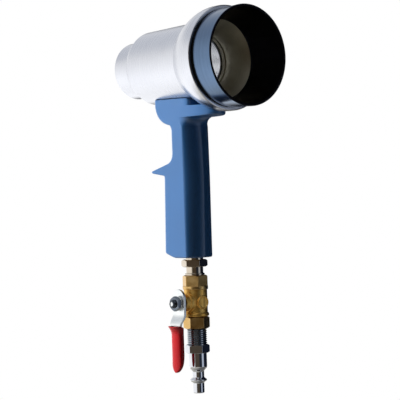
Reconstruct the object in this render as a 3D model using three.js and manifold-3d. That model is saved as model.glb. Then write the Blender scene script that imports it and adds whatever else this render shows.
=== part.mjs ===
// Hand-held air blower for drying water-borne paint. Compressed air enters the plug at the foot, passes
// the ball valve and the tube in the handle, fills the hollow wall of the barrel and leaves through a
// ring slot round the throat, so that it pulls room air in at the wide end and blows it out at the other.
// Millimetres, +Z up. The origin is in the middle of the grip, on the axis of the air column.
// The barrel lies along X: the intake faces +X, the outlet -X. The valve stem points to -Y.
import * as THREE from 'three';
import { mergeVertices } from 'three/addons/utils/BufferGeometryUtils.js';
import Module from 'manifold-3d';

// Clearances and facets
const fitGap = 0.3; // between pieces that seat on, or fit into, each other
const saddleGap = 0.4; // between the handle and the barrel that it carries
const barrelSides = 44;
const columnSides = 20;
const sealSides = 28;
const sealSectionSides = 6;
const weld = 1e-5;

// Barrel: stations along its axis are counted from the axis of the air column, and its radii grow in
// steps from the throat outwards
const gripDrop = 90; // barrel axis to the middle of the grip
const throatRadius = 17;
const tubeWall = 2.6; // of the venturi tube inside the hollow wall of the barrel
const outletStep = 0.7; // outlet collar over that wall
const plenumHeight = 3.2; // hollow wall over the collar
const shellFront = 39;
const shellWall = 2.7; // over the hollow wall, at the front
const shellTaper = 1.2; // growth of the shell up to the flare
const shoulderLength = 3.6;
const shoulderStep = 1.8;
const shellWallFront = 4.7; // thickness of the end wall round the venturi tube
const flareStart = 17.2;
const flareLength = 23.3;
const flangeLand = 4; // end of the flare to the rear face of the flange
const flangeLip = 4.9; // flange over the seat of the ring's spigot
const flangeEdge = 1;
const bellLedge = 5.8; // seat of the bell over the hollow wall
const bellSeatWall = 2; // of the flare over the front edge of that seat
const spigotLedge = 1.7; // seat of the ring's spigot over the seat of the bell
const spigotSeatDepth = 8.6;

// Venturi tube, whose front end is the outlet
const outletLength = 19.5; // from the front of the shell to the outlet face
const outletEdge = 0.6;
const tubeFlangeLength = 3;
const venturiRear = 15.5;
const venturiLip = 1.2;

// Jet bell behind the ring slot
const slotWidth = 0.6;
const bellThroatStep = 1; // throat of the bell over that of the tube
const bellThroatLength = 1;
const bellMouthWall = 2;
const bellCurveSteps = 7;

// Intake ring and the rubber band under it
const ringBandLength = 1.4; // flange face to the shoulder of the ring
const ringShoulderHeight = 2.5; // over the seat of the spigot
const ringFlare = 0.7; // growth from the shoulder to the rim
const ringLength = 18; // shoulder to rim
const ringRimWall = 1.8;
const ringRimEdge = 0.4;
const bandHeight = 2.5; // over the seat of the spigot, beside the flange

// Round seals: section radius of the ring, and the groove that holds it
const sealSection = 0.85;
const sealGrooveRoom = 0.2;
const frontSealInset = 1.4; // front of the shell to the near side of its groove
const bellSealInset = 3.2; // bell seat to the near side of its groove

// Handle: drops are counted down from the barrel axis, reaches from the axis of the air column
const gripWidth = 24;
const gripLength = 135.5; // barrel axis to the flat of the foot
const gripTopDrop = 18; // inside the barrel, which cuts the saddle
const saddleFrontReach = 25.6;
const saddleBackReach = 13.4;
const saddleCornerDrop = 29;
const saddleFootDrop = 42.6;
const saddleFootReach = 10;
const saddleLean = 2; // the rounded underside of the saddle leans back this much
const saddleFall = 2.4;
const recessReach = 8.2;
const recessTopDrop = 47;
const recessFootDrop = 61.5;
const finRootDrop = 69.4;
const finRootReach = 13.5;
const finRootFall = 2;
const finReach = 33.5;
const finTipDrop = 75.2;
const finTipRound = 1.1;
const finFootDrop = 77.6;
const strapTopReach = 17.6;
const strapFootReach = 19.3;
const footChamferReach = 9.4;
const footChamferHeight = 3;
const tailReach = 34.4;
const tailTopDrop = 29.9;
const tailTipDrop = 37;
const tailUnderDrop = 37.9;
const tailRootReach = 18.6;
const tailFilletDrop = 44;
const tailFilletFall = 1;
const backTopReach = 11.4;
const backBulgeReach = 13.1;
const backBulgeDrop = 84;
const backFootReach = 11.8;
const footEdge = 1.2;
const frontCornerRadius = 4;
const cornerSteps = 3;
const backSteps = 12;
const outlineSteps = 5;
const strapFlatReach = 4; // the flat sides of the strap run this far behind the axis
const strapSquareness = 1.5; // 2 rounds the back, less makes it a roof, more squares it off
const saddleSquareness = 6;
const tailSquareness = 2.5;

// Air tube in the handle, its seal and the threaded bush in the foot
const airTubeRadius = 6;
const airTubeBore = 4.2;
const airTubeEntry = 2.6; // how far the tube reaches into the wall of the shell
const tubeSealDrop = 1; // room between barrel and seal groove
const bushRadius = 8.2;
const bushNeckRadius = 7.2;
const bushFlangeLength = 18;
const bushNeckLength = 6;
const bushWebThickness = 1.6;
const bushRecess = 0.4; // bush face above the flat of the foot

// Hex nipple between bush and valve
const nippleThreadRadius = 6.2;
const nippleBore = 3.6;
const nippleEntry = 9; // thread inside the bush
const nippleNeckLength = 1.4; // between the foot and the hexagon
const nippleHexAcross = 16.2;
const nippleHexTurn = Math.PI * 0.065;
const nippleHexLength = 5.1;
const nippleTailLength = 5.9; // between the hexagon and the valve
const nippleTailEntry = 7.6; // thread inside the valve
const nippleCollarRadius = 6.9;
const nippleCollarLength = 1.1;
const hexChamferAngle = Math.PI / 6;
const hexBlankSides = 24;

// Ball valve
const valveHexAcross = 15.8;
const valveHexLength = 7.8;
const valveHexTurn = Math.PI * 0.029;
const valveRimRadius = 8.9;
const valveRimLength = 2.2;
const valveBodyRadius = 8.2;
const valvePivotDrop = 18.8; // top of the valve to the axis of the stem
const valveBodyLength = 28.6;
const valveFootRimLength = 2;
const valveFootRimRadius = 9;
const sidePadRadius = 4.6;
const sidePadProud = 0.4; // cast pads stand out from the round body
const waterwayRadius = 3.2;
const capHexAcross = 16.2;
const capHexLength = 8.3;
const capHexTurn = Math.PI * 0.129;
const capSpigotRadius = 5.9;
const chamberRadius = 5.5;
const ballRadius = 5.1;
const ballSides = 20;
const ballRings = 12;
const seatLength = 1.6; // seat behind the widest part of its hollow
const seatLand = 0.3;
const seatArcSteps = 5;

// Stem: stations count outwards from the axis of the column
const stemBossRadius = 5.9;
const stemBossEnd = 12.6;
const stemRadius = 3.3;
const stemFlangeRadius = 4.2;
const stemFlangeStart = 5.5;
const stemFlangeEnd = 6.7;
const stemShoulder = 13.7;
const stemThreadRadius = 2.9;
const stemEnd = 22;
const stemEndEdge = 0.5;
const tangWidth = 2;
const tangLength = 4.4;
const tangStart = 4.1;
const thrustWasherThickness = 0.7;
const stemSealSection = 0.6;
const stemSealStation = 10.2;

// Lever: heights are counted from the axis of the stem
const leverThickness = 2;
const leverWidth = 12.6;
const leverTailWidth = 7.4;
const leverJog = 3.4; // the tail stands this much further out than the head
const leverJogTop = -7.5;
const leverJogFoot = -15;
const leverFoot = -38;
const leverTaperTop = -15.5;
const leverTaperFoot = -21;
const leverHeadRise = 3.4; // centre of the round head above the axis of the stem
const leverHeadSteps = 12;
const gripTop = -15.4;
const gripFoot = -48;
const gripTopWidth = 12.4;
const gripLipReach = 3.1; // the top of the sleeve turns out this much, away from the valve
const gripBodyWidth = 10.6;
const gripFlareHeight = 7;
const gripScoop = 1.5;
const gripThickness = 6;
const gripInset = 1.1; // the sleeve is thicker on the valve side of the strip
const gripSquareness = 2.6;
const gripSectionSides = 20;
const gripRoundHeight = 7;
const gripTaper = 3.6; // lost thickness at the foot
const gripTaperHeight = 13;
const gripCurveSteps = 4;
const gripRoundSteps = 5;
const washerRadius = 5;
const washerThickness = 0.5;
const nutAcross = 9.2;
const nutThickness = 2.8;

// Quick plug
const plugThreadRadius = 7.05;
const plugThreadDepth = 0.7;
const plugThreadPitch = 1.41;
const plugThreadShown = 11.3;
const plugThreadEntry = 6.4;
const plugHexAcross = 15.2;
const plugHexLength = 5.8;
const plugHexTurn = Math.PI * 0.069;
const plugBodyRadius = 6.35;
const plugBodyLength = 10.2;
const plugBodyTaper = 2.6;
const plugNeckRadius = 4.1;
const plugNeckLength = 4.5;
const plugRidgeRadius = 5.9;
const plugRidgeLength = 3.5;
const plugNoseRadius = 3.95;
const plugNoseLength = 7.3;
const plugNoseEdge = 0.5;
const plugBore = 2.6;

const wasm = await Module();
wasm.setup();

// A closed geometry becomes a solid that can be cut and joined
function solidOf(geometry) {
  const bare = new THREE.BufferGeometry();
  bare.setAttribute('position', geometry.getAttribute('position'));
  bare.setIndex(geometry.getIndex());
  const merged = mergeVertices(bare, weld);
  const corners = merged.getIndex().array;
  const kept = [];
  for (let i = 0; i < corners.length; i += 3) {
    const [a, b, c] = [corners[i], corners[i + 1], corners[i + 2]];
    if (a !== b && b !== c && c !== a) kept.push(a, b, c);
  }
  const vertProperties = Float32Array.from(merged.getAttribute('position').array);
  return new wasm.Manifold(new wasm.Mesh({ numProp: 3, vertProperties, triVerts: Uint32Array.from(kept) }));
}

function geometryOf(solid) {
  const { vertProperties, triVerts } = solid.getMesh();
  const geometry = new THREE.BufferGeometry();
  geometry.setAttribute('position', new THREE.BufferAttribute(vertProperties, 3));
  geometry.setIndex(new THREE.BufferAttribute(triVerts, 1));
  geometry.computeVertexNormals();
  return geometry;
}

// Turned forms: [station, radius] pairs run up the outside and back down the bore
function turned(profile, sides) {
  const points = profile.map(([station, radius]) => new THREE.Vector2(radius, station));
  points.push(points[0].clone());
  return new THREE.LatheGeometry(points, sides);
}

function turnedOnX(profile, sides = barrelSides) {
  return solidOf(turned(profile, sides).rotateZ(-Math.PI / 2));
}

function turnedOnZ(profile, sides = columnSides) {
  return solidOf(turned(profile, sides).rotateX(Math.PI / 2));
}

// Stations on the stem run outwards, to -Y
function turnedOnStem(profile, sides = columnSides) {
  return solidOf(turned(profile, sides).rotateX(Math.PI));
}

function rod(low, high, radius) {
  return [[low, 0], [low, radius], [high, radius], [high, 0]];
}

function sealProfile(station, radius, section) {
  const loop = [];
  for (let i = 0; i < sealSectionSides; i += 1) {
    const angle = (i / sealSectionSides) * Math.PI * 2;
    loop.push([station + section * Math.sin(angle), radius + section * Math.cos(angle)]);
  }
  return loop;
}

function block(low, high) {
  const size = high.map((value, i) => value - low[i]);
  const middle = high.map((value, i) => (value + low[i]) / 2);
  return solidOf(new THREE.BoxGeometry(...size).translate(...middle));
}

// Hexagon with the chamfered corners of a turned bar, lying on Z
function hexagon(across, low, high, turn = 0) {
  const corner = across / Math.sqrt(3);
  const bar = new THREE.CylinderGeometry(corner, corner, high - low, 6);
  bar.rotateX(Math.PI / 2).rotateZ(turn).translate(0, 0, (low + high) / 2);
  const land = across / 2;
  const rise = (corner - land) * Math.tan(hexChamferAngle);
  const overRise = rise * 2;
  const overCorner = land + (corner - land) * 2;
  const blank = [[low, 0], [low, land], [low + overRise, overCorner], [high - overRise, overCorner]];
  blank.push([high, land], [high, 0]);
  return solidOf(bar).intersect(turnedOnZ(blank, hexBlankSides));
}

// A quarter wave from one level to another, in the given number of steps
function quarterRise(from, to, low, high, steps) {
  const points = [];
  for (let i = 0; i <= steps; i += 1) {
    const share = i / steps;
    points.push([from + (to - from) * share, low + (high - low) * Math.sin((share * Math.PI) / 2)]);
  }
  return points;
}

const group = new THREE.Group();

function material(color, roughness, metalness) {
  return new THREE.MeshStandardMaterial({ color, roughness, metalness });
}

function place(parent, name, solid, finish) {
  const mesh = new THREE.Mesh(geometryOf(solid), finish);
  mesh.name = name;
  parent.add(mesh);
}

// Barrel
const barrel = new THREE.Group();
barrel.position.z = gripDrop;
group.add(barrel);

const tubeWallRadius = throatRadius + tubeWall;
const outletRadius = tubeWallRadius + outletStep;
const plenumRadius = outletRadius + plenumHeight;
const shellFrontRadius = plenumRadius + shellWall;
const shellRearRadius = shellFrontRadius + shellTaper;
const bellSeatRadius = plenumRadius + bellLedge;
const spigotSeatRadius = bellSeatRadius + spigotLedge;
const flangeRadius = spigotSeatRadius + flangeLip;
const flareEnd = flareStart + flareLength;
const shellRear = flareEnd + flangeLand;
const spigotSeatStation = shellRear - spigotSeatDepth;
const bellSeatRise = (bellSeatRadius + bellSeatWall - shellRearRadius) / (flangeRadius - shellRearRadius);
const bellSeatStation = flareStart + (flareLength * Math.asin(bellSeatRise) * 2) / Math.PI;
const shoulderEnd = -shellFront + shoulderLength;
const endWallBack = -shellFront + shellWallFront;
const outletPort = outletRadius + fitGap;

// Outside of the shell from the front end to the flange, grown by a margin
function shellOutside(margin = 0) {
  const outside = [[-shellFront, shellFrontRadius - shoulderStep + margin]];
  outside.push([shoulderEnd, shellFrontRadius + margin]);
  const flare = quarterRise(flareStart, flareEnd, shellRearRadius, flangeRadius, outlineSteps + 2);
  outside.push(...flare.map(([station, radius]) => [station, radius + margin]));
  outside.push([shellRear - flangeEdge, flangeRadius + margin]);
  return outside;
}

function barrelShell() {
  const groove = sealSection + sealGrooveRoom;
  const grooveFront = -shellFront + frontSealInset;
  const grooveBack = grooveFront + groove * 2;
  const grooveFloor = outletPort + sealSection * 2 + sealGrooveRoom;
  const profile = [[-shellFront, outletPort], ...shellOutside()];
  profile.push([shellRear, flangeRadius - flangeEdge], [shellRear, spigotSeatRadius]);
  profile.push([spigotSeatStation, spigotSeatRadius], [spigotSeatStation, bellSeatRadius]);
  profile.push([bellSeatStation, bellSeatRadius], [bellSeatStation, plenumRadius]);
  profile.push([endWallBack, plenumRadius], [endWallBack, outletPort]);
  profile.push([grooveBack, outletPort], [grooveBack, grooveFloor]);
  profile.push([grooveFront, grooveFloor], [grooveFront, outletPort]);
  const port = turnedOnZ(rod(-shellRearRadius * 2, -tubeWallRadius, airTubeRadius + fitGap));
  return turnedOnX(profile).subtract(port);
}

function venturiTube() {
  const flangeRadiusInside = plenumRadius - fitGap;
  const flangeFront = endWallBack + fitGap;
  const flangeBack = flangeFront + tubeFlangeLength;
  const face = -shellFront - outletLength;
  const profile = [[face, throatRadius], [face, outletRadius - outletEdge]];
  profile.push([face + outletEdge, outletRadius]);
  profile.push([flangeFront, outletRadius], [flangeFront, flangeRadiusInside]);
  profile.push([flangeBack, flangeRadiusInside], [flangeBack, tubeWallRadius]);
  profile.push([venturiRear - venturiLip, tubeWallRadius], [venturiRear, tubeWallRadius - venturiLip]);
  profile.push([venturiRear, throatRadius]);
  return turnedOnX(profile);
}

function frontSeal() {
  const station = -shellFront + frontSealInset + sealSection + sealGrooveRoom;
  return turnedOnX(sealProfile(station, outletPort + sealSection, sealSection), sealSides);
}

const bellThroatRadius = throatRadius + bellThroatStep;
const bellMouthRadius = bellSeatRadius - bellMouthWall;
const bellFront = venturiRear + slotWidth;
const bellRear = spigotSeatStation - fitGap;
const bellGrooveStart = bellSeatStation + bellSealInset;

function jetBell() {
  const flange = bellSeatRadius - fitGap;
  const flangeStart = bellSeatStation + fitGap;
  const nose = plenumRadius - fitGap;
  const grooveFloor = flange - sealSection * 2 - sealGrooveRoom;
  const grooveEnd = bellGrooveStart + (sealSection + sealGrooveRoom) * 2;
  const profile = [[bellFront, bellThroatRadius], [bellFront, nose]];
  profile.push([flangeStart, nose], [flangeStart, flange]);
  profile.push([bellGrooveStart, flange], [bellGrooveStart, grooveFloor]);
  profile.push([grooveEnd, grooveFloor], [grooveEnd, flange], [bellRear, flange]);
  const curveStart = bellFront + bellThroatLength;
  for (let i = 0; i <= bellCurveSteps; i += 1) {
    const share = 1 - i / bellCurveSteps;
    const rise = 1 - Math.cos((share * Math.PI) / 2);
    const station = curveStart + (bellRear - curveStart) * share;
    profile.push([station, bellThroatRadius + (bellMouthRadius - bellThroatRadius) * rise]);
  }
  return turnedOnX(profile);
}

function bellSeal() {
  const station = bellGrooveStart + sealSection + sealGrooveRoom;
  const radius = bellSeatRadius - fitGap - sealSection + sealGrooveRoom / 2;
  return turnedOnX(sealProfile(station, radius, sealSection), sealSides);
}

const ringFrontRadius = spigotSeatRadius + ringShoulderHeight;
const ringRimRadius = ringFrontRadius + ringFlare;
const bandFrontRadius = spigotSeatRadius + bandHeight;
const ringShoulder = shellRear + ringBandLength;

function intakeRing() {
  const rim = ringShoulder + ringLength;
  const spigot = spigotSeatRadius - fitGap;
  const mouth = ringRimRadius - ringRimWall;
  const profile = [[spigotSeatStation, bellMouthRadius], [spigotSeatStation, spigot]];
  profile.push([ringShoulder, spigot], [ringShoulder, ringFrontRadius]);
  profile.push([rim - ringRimEdge, ringRimRadius], [rim, ringRimRadius - ringRimEdge]);
  profile.push([rim, mouth + ringRimEdge], [rim - ringRimEdge, mouth]);
  return turnedOnX(profile);
}

function ringBand() {
  const front = shellRear + fitGap;
  const back = ringShoulder - fitGap;
  const profile = [[front, spigotSeatRadius], [front, bandFrontRadius]];
  profile.push([back, ringFrontRadius], [back, spigotSeatRadius]);
  return turnedOnX(profile);
}

const turnedAluminium = material(0xd9dbe0, 0.32, 1);
const blackRubber = material(0x111214, 0.7, 0);
const glossBlack = material(0x1a1c21, 0.18, 1);
place(barrel, 'barrel_shell', barrelShell(), turnedAluminium);
place(barrel, 'venturi_tube', venturiTube(), turnedAluminium.clone());
place(barrel, 'front_seal', frontSeal(), blackRubber);
place(barrel, 'jet_bell', jetBell(), turnedAluminium.clone());
place(barrel, 'bell_seal', bellSeal(), blackRubber.clone());
place(barrel, 'intake_ring', intakeRing(), glossBlack);
place(barrel, 'ring_band', ringBand(), blackRubber.clone());

// Handle, in the frame of the barrel
const handle = new THREE.Group();
handle.position.z = gripDrop;
group.add(handle);

// Reach as a function of the drop, read off an outline that runs steadily downwards
function reachAt(points, drop) {
  const next = points.findIndex((point) => point.y >= drop);
  if (next <= 0) return points[next === 0 ? 0 : points.length - 1].x;
  const [a, b] = [points[next - 1], points[next]];
  return a.x + ((b.x - a.x) * (drop - a.y)) / (b.y - a.y);
}

function frontOutline() {
  const path = new THREE.Path();
  path.moveTo(saddleFrontReach, gripTopDrop);
  path.lineTo(saddleFrontReach, saddleCornerDrop);
  const undersideReach = saddleFrontReach - saddleLean;
  path.quadraticCurveTo(undersideReach, saddleFootDrop - saddleFall, saddleFootReach, saddleFootDrop);
  path.quadraticCurveTo(recessReach, (saddleFootDrop + recessTopDrop) / 2, recessReach, recessTopDrop);
  path.lineTo(recessReach, recessFootDrop);
  path.quadraticCurveTo(recessReach, finRootDrop - finRootFall, finRootReach, finRootDrop);
  path.lineTo(finReach - finTipRound, finTipDrop - finTipRound);
  path.quadraticCurveTo(finReach, finTipDrop, finReach - finTipRound * 2, finTipDrop + finTipRound / 2);
  path.lineTo(strapTopReach + finTipRound, finFootDrop);
  path.lineTo(strapTopReach, finFootDrop + finTipRound * 2);
  path.lineTo(strapFootReach, gripLength - footChamferHeight - footEdge);
  path.lineTo(strapFootReach - footEdge, gripLength - footChamferHeight);
  path.lineTo(footChamferReach, gripLength);
  return path.getPoints(outlineSteps);
}

function backOutline() {
  const path = new THREE.Path();
  path.moveTo(saddleBackReach, gripTopDrop);
  path.lineTo(saddleBackReach, tailTopDrop);
  path.lineTo(tailReach, tailTopDrop + fitGap);
  path.lineTo(tailReach, tailTipDrop);
  path.lineTo(tailReach - (tailUnderDrop - tailTipDrop), tailUnderDrop - fitGap);
  path.lineTo(tailRootReach, tailUnderDrop);
  path.quadraticCurveTo(backTopReach, tailUnderDrop + tailFilletFall, backTopReach, tailFilletDrop);
  const bulgeStart = (tailFilletDrop + backBulgeDrop) / 2;
  path.quadraticCurveTo(backBulgeReach, bulgeStart, backBulgeReach, backBulgeDrop);
  path.lineTo(backFootReach, gripLength - footEdge);
  path.lineTo(backFootReach - footEdge, gripLength);
  return path.getPoints(outlineSteps);
}

// Outline of the handle at one level: rounded front corners, flat sides, and a back from roof to square
function gripSection(front, back, halfWidth, squareness, flat) {
  const corner = Math.min(frontCornerRadius, halfWidth / 2, front / 2);
  const section = [];
  for (let i = 0; i <= cornerSteps; i += 1) {
    const angle = (i / cornerSteps) * (Math.PI / 2);
    const x = -front + corner - corner * Math.cos(angle);
    section.push([x, -halfWidth + corner - corner * Math.sin(angle)]);
  }
  for (let i = 0; i <= backSteps; i += 1) {
    const angle = -Math.PI / 2 + (i / backSteps) * Math.PI;
    const x = flat + (back - flat) * Math.cos(angle) ** (2 / squareness);
    section.push([x, halfWidth * Math.sign(angle) * Math.abs(Math.sin(angle)) ** (2 / squareness)]);
  }
  for (let i = cornerSteps; i >= 0; i -= 1) {
    const angle = (i / cornerSteps) * (Math.PI / 2);
    const x = -front + corner - corner * Math.cos(angle);
    section.push([x, halfWidth - corner + corner * Math.sin(angle)]);
  }
  return section;
}

// Skin over sections of equal count, stacked from the top level down
function stacked(sections, levels) {
  const count = sections[0].length;
  const corners = [];
  const faces = [];
  sections.forEach((section, level) => section.forEach(([x, y]) => corners.push(x, y, levels[level])));
  for (let level = 0; level + 1 < levels.length; level += 1) {
    for (let i = 0; i < count; i += 1) {
      const [a, b] = [level * count + i, level * count + ((i + 1) % count)];
      faces.push(a, a + count, b, b, a + count, b + count);
    }
  }
  const top = sections[0].map(([x, y]) => new THREE.Vector2(x, y));
  const foot = sections.at(-1).map(([x, y]) => new THREE.Vector2(x, y));
  const last = (levels.length - 1) * count;
  const topFaces = THREE.ShapeUtils.triangulateShape(top, []);
  const footFaces = THREE.ShapeUtils.triangulateShape(foot, []);
  topFaces.forEach(([a, b, c]) => faces.push(a, b, c));
  footFaces.forEach(([a, b, c]) => faces.push(last + a, last + c, last + b));
  const skin = new THREE.BufferGeometry();
  skin.setAttribute('position', new THREE.Float32BufferAttribute(corners, 3));
  skin.setIndex(faces);
  return solidOf(skin);
}

const bushTop = -gripLength + bushRecess + bushFlangeLength + bushNeckLength;
const bushStep = -gripLength + bushRecess + bushFlangeLength;
const tubeHole = airTubeRadius + fitGap;
const tubeSealTop = -shellRearRadius - tubeSealDrop;
const tubeSealPocket = tubeHole + sealSection * 2 + sealGrooveRoom;

function handleGrip() {
  const front = frontOutline();
  const back = backOutline();
  const drops = [...front, ...back].map((point) => Number(point.y.toFixed(3)));
  const levels = [...new Set(drops)].sort((a, b) => a - b);
  const sections = levels.map((drop) => {
    const belowTail = (drop - tailUnderDrop) / (tailFilletDrop - tailUnderDrop);
    const intoStrap = Math.min(1, Math.max(0, belowTail));
    let squareness = tailSquareness + (strapSquareness - tailSquareness) * intoStrap;
    if (drop <= tailTopDrop) squareness = saddleSquareness;
    const inFoot = Math.max(0, drop - gripLength + footEdge);
    const half = gripWidth / 2 - inFoot;
    const flat = strapFlatReach * intoStrap;
    return gripSection(reachAt(front, drop), reachAt(back, drop), half, squareness, flat);
  });
  const whole = stacked(sections, levels.map((drop) => -drop));
  const cutter = [[-shellFront, 0], ...shellOutside(saddleGap)];
  cutter.push([tailReach * 2, flangeRadius + saddleGap], [tailReach * 2, 0]);
  const bore = turnedOnZ(rod(-gripLength * 2, 0, tubeHole));
  const sealRoom = turnedOnZ(rod(tubeSealTop - (sealSection + sealGrooveRoom) * 2, 0, tubeSealPocket));
  const neckRoom = turnedOnZ(rod(-gripLength * 2, bushTop + fitGap, bushNeckRadius + fitGap));
  const bushRoom = turnedOnZ(rod(-gripLength * 2, bushStep + fitGap, bushRadius + fitGap));
  const cuts = [turnedOnX(cutter), bore, sealRoom, neckRoom, bushRoom];
  return cuts.reduce((solid, cut) => solid.subtract(cut), whole);
}

const tubeTop = -shellFrontRadius + airTubeEntry;
const bushWebTop = bushStep;
const tubeFoot = bushWebTop + fitGap;

function airTube() {
  const outside = [[tubeFoot, airTubeBore], [tubeFoot, airTubeRadius]];
  return turnedOnZ([...outside, [tubeTop, airTubeRadius], [tubeTop, airTubeBore]]);
}

function tubeSeal() {
  const station = tubeSealTop - sealSection - sealGrooveRoom;
  return turnedOnZ(sealProfile(station, tubeHole + sealSection, sealSection), columnSides);
}

const nippleRoom = nippleThreadRadius + fitGap;

function inletBush() {
  const foot = -gripLength + bushRecess;
  const webFoot = bushWebTop - bushWebThickness;
  const profile = [[foot, nippleRoom], [foot, bushRadius]];
  profile.push([bushStep, bushRadius], [bushStep, bushNeckRadius]);
  profile.push([bushTop, bushNeckRadius], [bushTop, tubeHole], [bushWebTop, tubeHole]);
  profile.push([bushWebTop, airTubeBore], [webFoot, airTubeBore], [webFoot, nippleRoom]);
  return turnedOnZ(profile);
}

const bluePolyamide = material(0x3f6fb0, 0.42, 0);
const zincSteel = material(0xc9ccd0, 0.3, 1);
const brass = material(0xb08a3c, 0.35, 1);
place(handle, 'handle_grip', handleGrip(), bluePolyamide);
place(handle, 'air_tube', airTube(), zincSteel);
place(handle, 'tube_seal', tubeSeal(), blackRubber.clone());
place(handle, 'inlet_bush', inletBush(), brass);

// Air column below the handle, counted from the axis of the valve stem
const nippleHexTop = -gripLength - nippleNeckLength;
const nippleHexFoot = nippleHexTop - nippleHexLength;
const valveTop = nippleHexFoot - nippleTailLength;
const pivotHeight = valveTop - valvePivotDrop;
const column = new THREE.Group();
column.position.z = gripDrop + pivotHeight;
group.add(column);

function hexNipple() {
  const top = -gripLength + nippleEntry - pivotHeight;
  const foot = valvePivotDrop - nippleTailEntry;
  const bar = turnedOnZ(rod(foot, top, nippleThreadRadius));
  const [hexFoot, hexTop] = [nippleHexFoot - pivotHeight, nippleHexTop - pivotHeight];
  const hex = hexagon(nippleHexAcross, hexFoot, hexTop, nippleHexTurn);
  const collarFoot = valvePivotDrop + fitGap;
  const collar = turnedOnZ(rod(collarFoot, collarFoot + nippleCollarLength, nippleCollarRadius));
  const bore = turnedOnZ(rod(foot - nippleEntry, top + nippleEntry, nippleBore));
  return bar.add(hex).add(collar).subtract(bore);
}

const seatHollow = ballRadius + fitGap;
const seatOuter = chamberRadius - fitGap;
const seatFace = Math.hypot(tangLength, tangWidth) / 2 + fitGap; // clears the tang as it turns
const seatBack = seatHollow + seatLength - seatLand;
const chamberTop = seatBack + fitGap;
const bodyFoot = valvePivotDrop - valveBodyLength;
const stemBore = stemRadius + fitGap;
const stemPocketEnd = stemFlangeEnd + thrustWasherThickness + fitGap * 2;

function valveBody() {
  const hexFoot = valvePivotDrop - valveHexLength;
  const rimFoot = hexFoot - valveRimLength;
  const overlap = fitGap;
  const footRimTop = bodyFoot + valveFootRimLength;
  const outside = [[bodyFoot, 0], [bodyFoot, valveFootRimRadius], [footRimTop, valveFootRimRadius]];
  outside.push([footRimTop, valveBodyRadius], [rimFoot, valveBodyRadius]);
  outside.push([rimFoot, valveRimRadius], [hexFoot + overlap, valveRimRadius], [hexFoot + overlap, 0]);
  const padReach = valveBodyRadius + sidePadProud;
  const pads = turnedOnX(rod(-padReach, padReach, sidePadRadius), columnSides);
  const boss = turnedOnStem(rod(0, stemBossEnd, stemBossRadius));
  const hex = hexagon(valveHexAcross, hexFoot, valvePivotDrop, valveHexTurn);
  const cast = turnedOnZ(outside).add(hex).add(pads).add(boss);
  const portFloor = valvePivotDrop - nippleTailEntry - fitGap;
  const port = turnedOnZ(rod(portFloor, valvePivotDrop * 2, nippleRoom));
  const waterway = turnedOnZ(rod(0, valvePivotDrop, waterwayRadius));
  const chamber = turnedOnZ(rod(-valveBodyLength, chamberTop, chamberRadius));
  const capRoom = turnedOnZ(rod(-valveBodyLength, -chamberTop, capSpigotRadius + fitGap));
  const stemRoom = turnedOnStem(rod(0, stemPocketEnd, stemFlangeRadius + fitGap));
  const stemHole = turnedOnStem(rod(0, stemEnd, stemBore));
  const sealHalf = stemSealSection + sealGrooveRoom;
  const sealFloor = stemBore + stemSealSection * 2 + sealGrooveRoom;
  const sealRoom = rod(stemSealStation - sealHalf, stemSealStation + sealHalf, sealFloor);
  const cuts = [port, waterway, chamber, capRoom, stemRoom, stemHole, turnedOnStem(sealRoom)];
  return cuts.reduce((solid, cut) => solid.subtract(cut), cast);
}

const capFoot = bodyFoot - fitGap - capHexLength;
const plugRoom = plugThreadRadius + fitGap;
const plugTop = capFoot + plugThreadEntry;

function valveEndCap() {
  const spigot = turnedOnZ(rod(capFoot + capHexLength / 2, -chamberTop, capSpigotRadius));
  const hex = hexagon(capHexAcross, capFoot, bodyFoot - fitGap, capHexTurn);
  const waterway = turnedOnZ(rod(capFoot, 0, waterwayRadius));
  const socket = turnedOnZ(rod(capFoot * 2, plugTop + fitGap, plugRoom));
  return spigot.add(hex).subtract(waterway).subtract(socket);
}

// Seat ring hollowed to the ball, on the upper side or, mirrored, on the lower
function ballSeat(side) {
  const hollow = [];
  const inner = Math.asin(waterwayRadius / seatHollow);
  const outer = Math.acos(seatFace / seatHollow);
  for (let i = 0; i <= seatArcSteps; i += 1) {
    const angle = inner + ((outer - inner) * i) / seatArcSteps;
    hollow.push([seatHollow * Math.cos(angle), seatHollow * Math.sin(angle)]);
  }
  const back = [[seatFace, seatOuter], [seatBack, seatOuter], [seatBack, waterwayRadius]];
  const ring = turned([...hollow, ...back], columnSides);
  return solidOf(ring.rotateX((side * Math.PI) / 2));
}

function valveBall() {
  const sphere = solidOf(new THREE.SphereGeometry(ballRadius, ballSides, ballRings));
  const waterway = turnedOnZ(rod(-ballRadius * 2, ballRadius * 2, waterwayRadius));
  const slotHalf = tangWidth / 2 + fitGap;
  const far = ballRadius * 2;
  const slot = block([-far, -far, -slotHalf], [far, -tangStart + fitGap, slotHalf]);
  return sphere.subtract(waterway).subtract(slot);
}

function valveStem() {
  const profile = [[stemFlangeStart, 0], [stemFlangeStart, stemFlangeRadius]];
  profile.push([stemFlangeEnd, stemFlangeRadius], [stemFlangeEnd, stemRadius]);
  profile.push([stemShoulder, stemRadius], [stemShoulder, stemThreadRadius]);
  profile.push([stemEnd - stemEndEdge, stemThreadRadius], [stemEnd, stemThreadRadius - stemEndEdge]);
  profile.push([stemEnd, 0]);
  const low = [-tangLength / 2, -stemFlangeStart - fitGap, -tangWidth / 2];
  const tang = block(low, [tangLength / 2, -tangStart, tangWidth / 2]);
  return turnedOnStem(profile).add(tang);
}

function stemRing(start, end, bore, radius) {
  return turnedOnStem([[start, bore], [start, radius], [end, radius], [end, bore]]);
}

function thrustWasher() {
  const start = stemFlangeEnd + fitGap;
  return stemRing(start, start + thrustWasherThickness, stemBore, stemFlangeRadius);
}

function stemSeal() {
  return turnedOnStem(sealProfile(stemSealStation, stemBore + stemSealSection, stemSealSection));
}

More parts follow.
